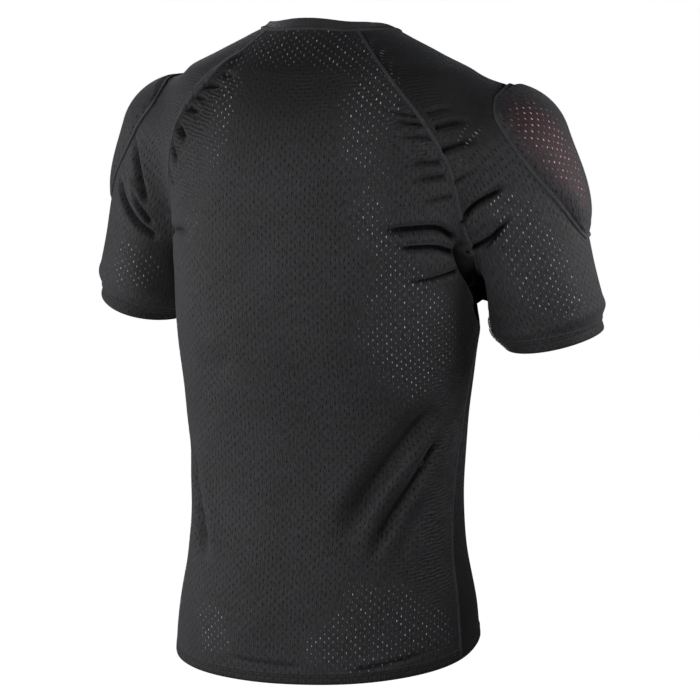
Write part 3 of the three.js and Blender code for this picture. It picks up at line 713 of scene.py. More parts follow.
def graded(count, weights):
    """Returns places from 0 to 1, closer together where the weights are high."""
    fine = np.linspace(0, 1, 2001)
    table = np.array(weights, float)
    weight = np.interp(fine, table[:, 0], table[:, 1])
    passed = np.concatenate([[0], np.cumsum((weight[1:] + weight[:-1]) / 2)])
    return np.interp(np.linspace(0, passed[-1], count), passed, fine)


def panel_grid(edges, turn_of, v, u):
    left = edges["left"](v)
    right = edges["right"](v)
    bottom = edges["bottom"](u)
    top = edges["top"](u)

    def blend(value):
        sides = mixed(value(left)[:, None], value(right)[:, None], u)
        ends = mixed(value(bottom), value(top), v[:, None])
        low = mixed(value(bottom[0]), value(bottom[-1]), u)
        high = mixed(value(top[0]), value(top[-1]), u)
        return sides + ends - mixed(low, high, v[:, None])

    z = blend(lambda p: p[..., 2])
    turn = blend(turn_of)
    nought = np.zeros_like(z)
    centre = np.stack([nought, nought, z], -1)
    way = np.stack([BODY_FLATNESS * np.sin(turn), np.cos(turn), nought], -1)
    grid = cast_out(centre, centre + way, torso_side_field)
    grid[0] = bottom
    grid[-1] = top
    grid[:, 0] = left
    grid[:, -1] = right
    return grid


def turn_from_back(p):
    return np.arctan2(p[..., 0] / BODY_FLATNESS, p[..., 1])


def turn_from_front(p):
    return np.pi - np.arctan2(p[..., 0] / BODY_FLATNESS, -p[..., 1])


back_edge = joined(lambda t: side_seam(1 - t), lambda t: back_raglan(1 - t), ARMPIT_SHARE)
front_edge = joined(lambda t: side_seam(1 - t), lambda t: front_raglan(1 - t), ARMPIT_SHARE)
BODY_ROW_WEIGHTS = [
    (0, 2.6), (0.02, 2.6), (0.03, 1), (0.58, 1), (0.64, 2.2), (0.76, 2.2), (0.82, 1.7),
    (0.93, 1.6), (1, 1.3),
]
BODY_COLUMN_WEIGHTS = [(0, 2.2), (0.16, 2), (0.28, 1), (0.72, 1), (0.84, 2), (1, 2.2)]

back_grid = panel_grid(
    {
        "left": lambda v: back_edge(v) * MIRROR,
        "right": back_edge,
        "bottom": lambda u: hem_points(mixed(-SIDE_HEM_ANGLE, SIDE_HEM_ANGLE, u)),
        "top": lambda u: neckline_points(mixed(-BACK_NECK_ANGLE, BACK_NECK_ANGLE, u)),
    },
    turn_from_back,
    graded(352, BODY_ROW_WEIGHTS),
    graded(238, BODY_COLUMN_WEIGHTS),
)
front_grid = panel_grid(
    {
        "left": lambda v: front_edge(v) * MIRROR,
        "right": front_edge,
        "bottom": lambda u: hem_points(mixed(-SIDE_HEM_ANGLE, SIDE_HEM_ANGLE - 360, u)),
        "top": lambda u: neckline_points(mixed(FRONT_NECK_ANGLE - 180, -FRONT_NECK_ANGLE - 180, u)),
    },
    turn_from_front,
    graded(262, BODY_ROW_WEIGHTS),
    graded(182, BODY_COLUMN_WEIGHTS),
)


def band_rise(mm_from_edge, band):
    """Returns how much a turned-up band adds: a soft step with two grooves for its stitches."""
    step = 1 - ramp((mm_from_edge - band) / 2.0 + 0.5)
    grooves = 0.0
    for inset in BAND_STITCH_INSETS:
        grooves = grooves + np.exp(-(((mm_from_edge - band + inset) / GROOVE_HALF_WIDTH) ** 2))
    edge = 1 - ramp(mm_from_edge / 1.4)
    return step - 0.6 * grooves - 0.5 * edge


def turned_up(grid, band):
    """Adds a fold and an inner strip before a grid's first row, and returns the rises too."""
    length = arc_map(grid, 0, grid.shape[1] // 2)[..., 1]
    rise = band_rise(length, band)
    top_row = int(np.argmax(length[:, grid.shape[1] // 2] > band - 1))
    inner_rows = np.linspace(top_row, 1, TURN_UP_ROWS).astype(int)
    downward = unit(grid[0] - grid[2])
    inside = -2 * FOLD_RADIUS
    angles = np.linspace(0, math.pi, FOLD_ROWS + 2)[1:-1]
    fold = [grid[0] + downward * FOLD_RADIUS * math.sin(a) for a in angles]
    fold_rise = [rise[0] * (1 - math.cos(a)) / 2 + inside * (1 + math.cos(a)) / 2 for a in angles]
    rows = np.concatenate([grid[inner_rows], np.array(fold), grid])
    inner_rise = np.full((TURN_UP_ROWS, grid.shape[1]), inside)
    rises = np.concatenate([inner_rise, np.array(fold_rise), rise])
    return rows, rises, TURN_UP_ROWS + FOLD_ROWS


def mark_doubled(surface, band):
    """Marks where a turned-up band makes the cloth two layers thick."""
    from_edge = surface["uv"][..., 1]
    surface["masks"]["doubled"] = 1 - ramp((from_edge - band) / 1.5 + 0.5)
    return surface


def lay_panel(grid):
    rows, rises, hem_row = turned_up(grid, HEM_BAND)
    return mark_doubled(lay_surface(rows, rises, hem_row), HEM_BAND)


back_surface = lay_panel(back_grid)
front_surface = lay_panel(front_grid)
print("body panels:", back_grid.shape[:2], "points each")

# %% [markdown]
# ## Cutting the sleeves
# A raglan sleeve runs from the neck to the cuff. Its rows fan round an axis that bends from
# the neck into the arm, so they start on the back edge, pass over the crown of the shoulder
# and end on the front edge. Only the left sleeve is worked out. The right one is its mirror
# image, but its creases are its own.

# %% Sleeves
SLEEVE_ARMPIT_SHARE = 0.78
CROWN_ARMPIT_SHARE = 0.8
NECK_EASE = 0.25
CUFF_BAND = 14
SLEEVE_ROW_WEIGHTS = [(0, 1.3), (0.45, 1.4), (0.55, 2), (0.88, 2), (0.93, 1.5), (0.95, 2.6), (1, 2.6)]
SLEEVE_COLUMN_WEIGHTS = [(0, 2), (0.32, 1.9), (0.42, 1.3), (0.55, 1.1), (1, 1)]
CROWN_GUIDE = [(112, -6, -34), (176, -12, -60), (226, -22, -106), (256, -34, -190)]
SLEEVE_AXIS_GUIDE = [(46, 0, -48), (112, -6, -76), (160, -11, -106)]
NECK_MIDDLE_ANGLE = (BACK_NECK_ANGLE + 180 - FRONT_NECK_ANGLE) / 2

cuff_outer = CUFF_CENTRE + ARM_OUT * CUFF_RADIUS + ARM_WAY * CUFF_SLANT
crown_curve = seam_curve([neckline_points(NECK_MIDDLE_ANGLE), *CROWN_GUIDE, cuff_outer])
armpit_centre = SHOULDER_JOINT + ARM_WAY * dot(np.array(ARMPIT) - SHOULDER_JOINT, ARM_WAY)
sleeve_axis = smooth_curve([*SLEEVE_AXIS_GUIDE, armpit_centre])
sleeve_back_edge = joined(back_raglan, underarm_seam, SLEEVE_ARMPIT_SHARE)
sleeve_front_edge = joined(front_raglan, underarm_seam, SLEEVE_ARMPIT_SHARE)
crown_at = joined(
    lambda t: crown_curve(t * CROWN_ARMPIT_SHARE),
    lambda t: crown_curve(mixed(CROWN_ARMPIT_SHARE, 1, t)),
    SLEEVE_ARMPIT_SHARE,
)


def sleeve_axis_at(v):
    """Returns the axis's point and direction at places down the sleeve."""
    t = np.clip(v / SLEEVE_ARMPIT_SHARE, 0, 1)
    ahead = sleeve_axis(np.clip(t + 0.01, 0, 1))
    behind = sleeve_axis(np.clip(t - 0.01, 0, 1))
    low = np.clip((v - SLEEVE_ARMPIT_SHARE) / (1 - SLEEVE_ARMPIT_SHARE), 0, 1)[:, None]
    in_arm = (v >= SLEEVE_ARMPIT_SHARE)[:, None]
    centre = np.where(in_arm, mixed(armpit_centre, CUFF_CENTRE, low), sleeve_axis(t))
    way = unit(mixed(unit(ahead - behind), ARM_WAY, ramp((t - 0.5) / 0.5)[:, None]))
    return centre, way


def spoke_of(point, centre, way):
    """Splits points into a place along an axis and a way across it."""
    offset = point - centre
    along = dot(offset, way)
    return along, offset - way * along[..., None]


def sleeve_rows(v, u):
    """Returns rows of the left sleeve. u has a row of places for each v."""
    centre, way = sleeve_axis_at(v)
    crown_along, crown = spoke_of(crown_at(v), centre, way)
    crown_hat = unit(crown)
    back_hat = np.cross(crown_hat, way)
    back_hat = back_hat * np.where(back_hat[:, 1:2] < 0, -1, 1)
    halves = []
    for edge, side in ((sleeve_back_edge(v), 1), (sleeve_front_edge(v), -1)):
        along, across = spoke_of(edge, centre, way)
        turn = np.arctan2(dot(across, back_hat) * side, dot(across, crown_hat))
        turn = np.where(turn < -1, turn + 2 * np.pi, turn)
        w = np.abs(u - 0.5) * 2
        angle = turn[:, None] * w
        crown_reach = np.linalg.norm(crown, axis=1)[:, None]
        reach = mixed(crown_reach, np.linalg.norm(across, axis=1)[:, None], w * w)
        shift = mixed(crown_along[:, None], along[:, None], w * w)
        p = centre[:, None] + way[:, None] * shift[..., None]
        p = p + crown_hat[:, None] * (reach * np.cos(angle))[..., None]
        p = p + back_hat[:, None] * (reach * np.sin(angle) * side)[..., None]
        halves.append(p)
    return np.where((u < 0.5)[..., None], halves[0], halves[1])


def sleeve_grid(v, columns):
    u = np.broadcast_to(columns, (len(v), len(columns)))
    rows = sleeve_rows(v, u)
    first = sleeve_rows(np.zeros(1), columns[None])[0]
    neck_row = neckline_points(mixed(BACK_NECK_ANGLE, 180 - FRONT_NECK_ANGLE, columns))
    ease = np.maximum(0, 1 - v / NECK_EASE) ** 2
    rows = rows + (neck_row - first) * ease[:, None, None]
    centre, _ = sleeve_axis_at(v)
    upper = v <= SLEEVE_ARMPIT_SHARE
    grid = np.zeros_like(rows)
    grid[upper] = cast_out(centre[upper][:, None], rows[upper], figure_field)
    grid[~upper] = cast_out(centre[~upper][:, None], rows[~upper], arm_side_field)
    grid[:, 0] = sleeve_back_edge(v)
    grid[:, -1] = sleeve_front_edge(v)
    return grid


sleeve_columns = graded(250, SLEEVE_COLUMN_WEIGHTS)
left_sleeve_grid = sleeve_grid(graded(300, SLEEVE_ROW_WEIGHTS), sleeve_columns)
CROWN_COLUMN = int(np.argmin(np.abs(sleeve_columns - 0.5)))


def lay_sleeve(grid):
    rows, rises, cuff_row = turned_up(grid[::-1], CUFF_BAND)
    return mark_doubled(lay_surface(rows, rises, cuff_row, CROWN_COLUMN), CUFF_BAND)


sleeve_surfaces = {
    "left": lay_sleeve(left_sleeve_grid),
    "right": lay_sleeve(left_sleeve_grid * MIRROR),
}
print("sleeves:", left_sleeve_grid.shape[:2], "points each")

# %% [markdown]
# ## The shoulder pads and their covers
# Each pad is soft moulded foam, crowned in the middle. Its cover is mesh cloth, sewn flat to
# the sleeve along its edge, and it tents smoothly over the foam. Both are grids on the
# sleeve's own rows, between the levels of the cover's table.

# %% Pads and covers
COVER_LEVELS = [
    # place down the sleeve, middle and half width as shares of the way round it
    (0.326, 0.53, 0.12),
    (0.342, 0.53, 0.19),
    (0.37, 0.53, 0.235),
    (0.44, 0.535, 0.235),
    (0.53, 0.54, 0.195),
    (0.63, 0.55, 0.13),
    (0.7, 0.555, 0.08),
    (0.74, 0.56, 0.04),
]
PAD_EDGE = 2.5
PAD_CROWN = 11
COVER_MARGIN = 0.07
COVER_ROWS = 92
COVER_COLUMNS = 84
COVER_RISE = 1.1
COVER_EASE = 1.6
COVER_THICKNESS = 0.9
PAD_TOP_RISE = 0.6
PAD_UNDER_RISE = 0.5
read_cover = smooth_table(COVER_LEVELS)


def pad_places(rows, columns, margin):
    """Returns a pad's or cover's grid on the left sleeve, and its places a and b on it."""
    a = np.linspace(margin, 1 - margin, rows)
    b = np.linspace(-1 + 2 * margin, 1 - 2 * margin, columns)
    down = mixed(COVER_LEVELS[0][0], COVER_LEVELS[-1][0], a)
    u = read_cover(down, 1)[:, None] + read_cover(down, 2)[:, None] * b
    centre, _ = sleeve_axis_at(down)
    grid = cast_out(centre[:, None], sleeve_rows(down, u), figure_field)
    return grid, a[:, None], b[None, :]


def pad_thickness(a, b):
    """Returns the foam's thickness, with a and b from the cover's edges."""
    a = np.clip((a - COVER_MARGIN) / (1 - 2 * COVER_MARGIN), 0, 1) * 2 - 1
    b = np.clip(b / (1 - 2 * COVER_MARGIN), -1, 1)
    fullness = 0.58 + 0.42 * a
    return PAD_EDGE + (PAD_CROWN - PAD_EDGE) * (1 - a**4) * (1 - b**4) * fullness


cover_grid, cover_a, cover_b = pad_places(COVER_ROWS, COVER_COLUMNS, 0)
edge_a = np.minimum(cover_a, 1 - cover_a) / COVER_MARGIN
edge_b = (1 - np.abs(cover_b)) / (2 * COVER_MARGIN)
over_pad = ramp(np.minimum(edge_a, 1)) * ramp(np.minimum(edge_b, 1))
PAD_FULLNESS = {"left": 0.6, "right": 1.0}


def cover_rise(side):
    """Returns how far a cover stands off the sleeve. The left pad is pressed flatter."""
    return COVER_RISE + over_pad * (COVER_EASE + PAD_FULLNESS[side] * pad_thickness(cover_a, cover_b))


cover_surfaces = {
    "left": lay_surface(cover_grid, cover_rise("left")),
    "right": lay_surface(cover_grid * MIRROR, cover_rise("right")),
}
print("cover stands", round(float(cover_rise("right").max()), 1), "mm off the sleeve at its crown")

# %% [markdown]
# ## Masks
# Some things change from place to place: where painted light stands for light coming through
# the holes of the stretched knit, where the rows of holes ripple, where the holes nearly close,
# and where painted shade darkens the knit. Soft round spots on the cloth hold each of them, and
# a painted glow across the cover brightens the red foam seen through its holes. Each sum becomes
# a vertex attribute that the material reads.

# %% Spots on the cloth
# Painted light: spots where the holes are painted pale to stand for light coming through.
LIGHT_SPOTS = [
    # x, y, z, radius, strength
    # upper back, left
    (80, 64, -31, 15, 0.5), (76, 83, -55, 15, 0.8), (79, 92, -80, 14, 1.0), (81, 99, -105, 13, 1.0),
    (86, 102, -130, 13, 0.75), (96, 102, -166, 14, 0.4), (112, 93, -200, 20, 0.65),
    # below the neck
    (60, 58, -18, 14, 0.6), (40, 60, -12, 16, 0.6), (14, 64, -9, 16, 0.65), (-16, 62, -7, 16, 0.65),
    (-42, 57, -9, 16, 0.8), (38, 74, -30, 16, 0.4), (8, 75, -24, 16, 0.45), (-26, 74, -24, 16, 0.5),
    (-48, 72, -27, 16, 0.6),
    # upper back, right
    (-72, 60, -24, 17, 0.85), (-84, 78, -50, 18, 0.95), (-92, 85, -72, 16, 1.05),
    (-82, 95, -94, 16, 0.9),
    (-64, 94, -76, 17, 0.7), (-70, 103, -114, 16, 0.75), (-92, 99, -134, 15, 0.6),
    (-86, 105, -168, 17, 0.65), (-82, 107, -188, 18, 0.7), (-104, 97, -208, 18, 0.6),
    # under the right arm
    (-115, 91, -239, 22, 0.65), (-131, 78, -265, 22, 0.9), (-141, 67, -288, 22, 1.05),
    (-138, 68, -317, 24, 1.0), (-125, 75, -347, 26, 0.8), (-101, 98, -264, 22, 0.55),
    (-108, 90, -315, 28, 0.65), (-84, 100, -300, 22, 0.35),
    # the hips
    (110, 86, -606, 14, 0.6), (88, 97, -612, 15, 0.85), (101, 93, -636, 14, 0.8),
    (78, 102, -632, 14, 0.65),
    (-75, 98, -570, 18, 0.7), (-112, 82, -575, 18, 0.7), (-138, 63, -593, 18, 0.7),
    (-147, 56, -615, 16, 0.8), (-56, 106, -606, 18, 0.9), (-35, 110, -628, 16, 0.95),
    (-66, 105, -633, 18, 1.15),
    (-96, 96, -636, 16, 0.8), (-95, 94, -596, 20, 0.9), (-122, 80, -616, 18, 0.85),
    # the sleeves
    (-216, 21, -182, 18, 0.65), (-230, 14, -207, 20, 0.95), (-244, 5, -233, 20, 1.1),
    (-253, -1, -259, 20, 1.1), (-263, -10, -272, 14, 0.8), (-235, 10, -258, 20, 0.9),
    (-221, 17, -233, 20, 0.75), (-201, 22, -208, 18, 0.5), (-194, 27, -172, 12, 0.75),
    (-208, 25, -166, 9, 0.7),
    (226, 13, -243, 18, 0.75), (214, 13, -258, 18, 0.7), (234, 8, -270, 16, 0.6),
    (204, 12, -262, 14, 0.5),
    (-166, 44, -105, 9, 0.9), (-174, 37, -98, 8, 0.8), (-164, 47, -131, 7, 0.6),
    # front
    (76, -96, -110, 26, 0.8), (-80, -98, -130, 26, 0.8), (60, -112, -220, 30, 0.6),
    (-110, -84, -300, 34, 0.8), (112, -82, -330, 34, 0.8), (-60, -100, -600, 30, 0.9),
    (70, -98, -590, 28, 0.8), (240, -80, -240, 24, 0.8), (-238, -84, -250, 24, 0.8),
]
RIPPLE_SPOTS = [
    (98, 71, -48, 34, 0.8), (121, 77, -88, 34, 1.0), (132, 78, -124, 34, 1.0), (141, 72, -166, 34, 0.8),
    (-150, 48, -309, 26, 0.9), (-150, 42, -345, 26, 1.2), (-150, 34, -380, 26, 1.4),
    (-148, 24, -428, 28, 1.5), (-143, 28, -470, 26, 1.3), (-140, 38, -510, 28, 1.2),
    (-146, 41, -560, 26, 1.0), (-120, 62, -545, 26, 0.6),
    (0, 78, -28, 40, 0.35), (-39, 91, -56, 34, 0.4), (-81, 64, -30, 30, 0.7), (-118, 74, -75, 30, 0.9),
    (-130, 75, -110, 26, 0.8), (-100, 88, -430, 30, 0.6),
    (100, -90, -80, 40, 0.9), (-104, -92, -90, 40, 0.9), (148, -20, -400, 34, 0.9),
    (146, -16, -480, 34, 0.9), (-140, -30, -420, 30, 0.7),
]
PLAIN_SPOTS = [
    # over the shoulders, where the holes nearly close
    (100, 15, -26, 42, 1), (-100, 15, -26, 42, 1), (150, 8, -46, 48, 1), (-150, 8, -46, 48, 1),
    (192, 0, -80, 44, 0.9), (-186, 8, -76, 40, 0.8), (100, -40, -40, 40, 0.8),
    (-100, -40, -40, 40, 0.8),
]
PAINTED_SHADE_SPOTS = {
    # painted shade: spots where the knit is darkened to stand for shade
    "back": [
        (0, 80, -40, 70, 0.85), (-60, 84, -60, 50, 0.3), (50, 84, -50, 50, 0.6),
        (96, 79, -42, 20, 1.1), (114, 79, -66, 22, 1.1), (128, 78, -92, 22, 1.1),
        (142, 70, -124, 22, 1.0),
        (-150, 40, -300, 34, 0.7), (-148, 20, -360, 30, 0.6), (-144, 30, -440, 30, 0.4),
        (-164, 12, -276, 24, 1.0), (-158, 8, -316, 24, 1.0), (-154, 6, -356, 24, 0.8),
        (-120, 66, -392, 30, 0.8), (152, 26, -250, 34, 0.9), (110, 80, -655, 34, 0.6),
        (-156, 20, -250, 26, 0.9),
    ],
    "front": [
        (-150, -10, -320, 50, 1.1), (-146, 0, -400, 50, 1.1), (-142, 8, -480, 50, 1.1),
        (-150, 14, -560, 50, 1.0), (-158, 14, -640, 50, 0.9), (146, 0, -460, 40, 0.3),
    ],
    "sleeve_right": [
        (-90, 40, -24, 50, 1.2), (-130, 36, -56, 50, 1.0), (-168, 36, -90, 40, 0.8),
        (-172, -10, -290, 34, 0.9),
    ],
    "cover_right": [(-200, 24, -70, 36, 0.5)],
    "sleeve_left": [(180, 0, -270, 34, 0.9), (176, 20, -250, 24, 0.8), (186, 16, -262, 26, 1.4)],
}


MOST_IN_A_PLACE = 1.4


def spots_on(points, spots):
    """Returns the sum of soft spots at points, up to a limit."""
    total = np.zeros(points.shape[:2])
    for x, y, z, radius, strength in spots:
        gap = np.linalg.norm(points - np.array([x, y, z]), axis=-1)
        total += strength * np.exp(-((gap / radius) ** 2) * 0.8)
    return np.clip(total, 0, MOST_IN_A_PLACE)


cloth_surfaces = {
    "back": back_surface,
    "front": front_surface,
    "sleeve_left": sleeve_surfaces["left"],
    "sleeve_right": sleeve_surfaces["right"],
    "cover_left": cover_surfaces["left"],
    "cover_right": cover_surfaces["right"],
}
# Painted glow: a band across each cover where the holes over the red foam are painted brighter.
GLOW = {"cover_left": 0.2, "cover_right": 1.0}
GLOW_START = -0.5
GLOW_LEAN = 0.28
GLOW_HALF_WIDTH = 0.42
glow_across = np.exp(-(((cover_b - GLOW_START - GLOW_LEAN * cover_a) / GLOW_HALF_WIDTH) ** 2))
foam_glow = over_pad * glow_across * ramp(4 * cover_a) * ramp(2 * (1 - cover_a))
for surface_name, surface in cloth_surfaces.items():
    on_cover = surface_name.startswith("cover")
    shape = surface["points"].shape[:2]
    # painted light: pale holes where light would come through
    surface["masks"]["light_through"] = spots_on(surface["points"], [] if on_cover else LIGHT_SPOTS)
    surface["masks"]["ripple"] = spots_on(surface["points"], RIPPLE_SPOTS)
    # painted shade: spots where the knit is darkened to stand for shade
    surface["masks"]["painted_shade"] = spots_on(surface["points"], PAINTED_SHADE_SPOTS.get(surface_name, []))
    surface["masks"].setdefault("doubled", np.zeros(shape))
    plain_here = PLAIN_SPOTS if "sleeve" in surface_name else []
    surface["masks"]["plain"] = spots_on(surface["points"], plain_here)
    # the foam's own red under the cover, brightened by a painted glow
    glow = foam_glow * GLOW[surface_name] if on_cover else 0.0
    surface["masks"]["foam_and_glow"] = np.broadcast_to(glow, shape)
print("spots of light:", len(LIGHT_SPOTS), "and of ripples:", len(RIPPLE_SPOTS))

# %% [markdown]
# ## Materials from nodes
# A small helper makes a math node and wires its inputs, because a pattern takes many of them.

# %% Node helpers


def math_node(tree, operation, *values):
    """Adds a math node. Each value is a number or another node's output."""
    node = tree.nodes.new("ShaderNodeMath")
    node.operation = operation
    for socket, value in zip(node.inputs, values):
        if isinstance(value, (int, float)):
            socket.default_value = value
        else:
            tree.links.new(value, socket)
    return node.outputs[0]


def soft_step(tree, value, low, high, start=0.0, end=1.0):
    """Adds a smooth change from start to end as the value goes from low to high."""
    node = tree.nodes.new("ShaderNodeMapRange")
    node.interpolation_type = "SMOOTHSTEP"
    node.inputs["From Min"].default_value = low
    node.inputs["From Max"].default_value = high
    node.inputs["To Min"].default_value = start
    node.inputs["To Max"].default_value = end
    tree.links.new(value, node.inputs["Value"])
    return node.outputs["Result"]


def mix_colours(tree, amount, first, second):
    """Adds a mix of two colours. Each is a colour or another node's output."""
    node = tree.nodes.new("ShaderNodeMix")
    node.data_type = "RGBA"
    tree.links.new(amount, node.inputs[0])
    for socket, value in ((node.inputs[6], first), (node.inputs[7], second)):
        if isinstance(value, tuple):
            socket.default_value = (*value, 1)
        else:
            tree.links.new(value, socket)
    return node.outputs[2]


def mix_values(tree, amount, first, second):
    """Adds a mix of two numbers."""
    node = tree.nodes.new("ShaderNodeMix")
    for number, value in ((0, amount), (2, first), (3, second)):
        tree.links.new(value, node.inputs[number])
    return node.outputs[0]


def noise_node(tree, vector, scale, detail):
    node = tree.nodes.new("ShaderNodeTexNoise")
    node.inputs["Scale"].default_value = scale
    node.inputs["Detail"].default_value = detail
    tree.links.new(vector, node.inputs["Vector"])
    return node.outputs["Fac"]


def attribute_node(tree, name):
    node = tree.nodes.new("ShaderNodeAttribute")
    node.attribute_name = name
    return node.outputs["Fac"]


def add_bump(tree, height_mm, strength):
    """Adds a bump whose height is in millimetres."""
    node = tree.nodes.new("ShaderNodeBump")
    node.inputs["Strength"].default_value = strength
    node.inputs["Distance"].default_value = MM
    tree.links.new(height_mm, node.inputs["Height"])
    return node.outputs["Normal"]


# %% [markdown]
# ## The mesh knit
# The knit has staggered rows of small upright holes. Two copies of one lattice, half a step
# apart, place them, and the distance to the nearest hole draws it. A hole is dark where the
# cloth lies close and painted pale, as painted light, where light comes through the stretched
# cloth. Over the foam a hole shows the foam's red, with a painted glow that makes it pale pink.
# Between the holes run fine upright ribs, and near tight seams the rows ripple. The colour is
# a charcoal that a soft sheen lifts at the sides. Painted shade darkens it in spots where shade
# falls, and in a crease painted shade turns it nearly black and takes away its gloss, because
# little light gets in there.

# %% Mesh knit material
HOLE_STEP_ACROSS = 9.2
HOLE_STEP_UP = 8.1
HOLE_HALF_WIDTH = 0.62
HOLE_HALF_HEIGHT = 1.5
FIBRE_SCALE = 1100.0
CHARCOAL = (0.0128, 0.0126, 0.0141)
# the near-black of painted shade at the shade spots and in the creases, and the dark of holes and
# doubled bands
DEEP_SHADE = (0.0012, 0.0012, 0.0014)
# painted light: the pale colour of a hole that light comes through
LIT_HOLE = (0.38, 0.39, 0.41)
FOAM_TINT = (0.12, 0.012, 0.018)
# painted light: a hole over the foam, painted pale pink as if lit
FOAM_LIT_HOLE = (0.7, 0.32, 0.36)
SHEEN_ROUGHNESS = 0.45
SHEEN_TINT = (0.9, 0.92, 1.0, 1)


def hole_lattice(tree, across, up, shift):
    """Returns how far a point is from the nearest hole of one lattice, and the hole's chance."""
    column = math_node(tree, "MULTIPLY_ADD", across, 1 / HOLE_STEP_ACROSS, shift)
    row = math_node(tree, "MULTIPLY_ADD", up, 1 / HOLE_STEP_UP, shift)
    x = math_node(tree, "SUBTRACT", math_node(tree, "FRACT", column), 0.5)
    y = math_node(tree, "SUBTRACT", math_node(tree, "FRACT", row), 0.5)
    x = math_node(tree, "MULTIPLY", x, HOLE_STEP_ACROSS / HOLE_HALF_WIDTH)
    y = math_node(tree, "MULTIPLY", y, HOLE_STEP_UP / HOLE_HALF_HEIGHT)
    square = math_node(tree, "MULTIPLY_ADD", x, x, math_node(tree, "MULTIPLY", y, y))
    cell = tree.nodes.new("ShaderNodeCombineXYZ")
    tree.links.new(math_node(tree, "FLOOR", column), cell.inputs[0])
    tree.links.new(math_node(tree, "FLOOR", row), cell.inputs[1])
    cell.inputs[2].default_value = shift
    chance = tree.nodes.new("ShaderNodeTexWhiteNoise")
    tree.links.new(cell.outputs[0], chance.inputs["Vector"])
    return math_node(tree, "SQRT", square), chance.outputs["Value"]


def streaks(tree, across, up, width, length):
    """Returns a noise drawn out along the cloth: of this width across and length up, in mm."""
    place = tree.nodes.new("ShaderNodeCombineXYZ")
    tree.links.new(math_node(tree, "MULTIPLY", across, 1 / width), place.inputs[0])
    tree.links.new(math_node(tree, "MULTIPLY", up, 1 / length), place.inputs[1])
    return noise_node(tree, place.outputs[0], 1.0, 1.0)


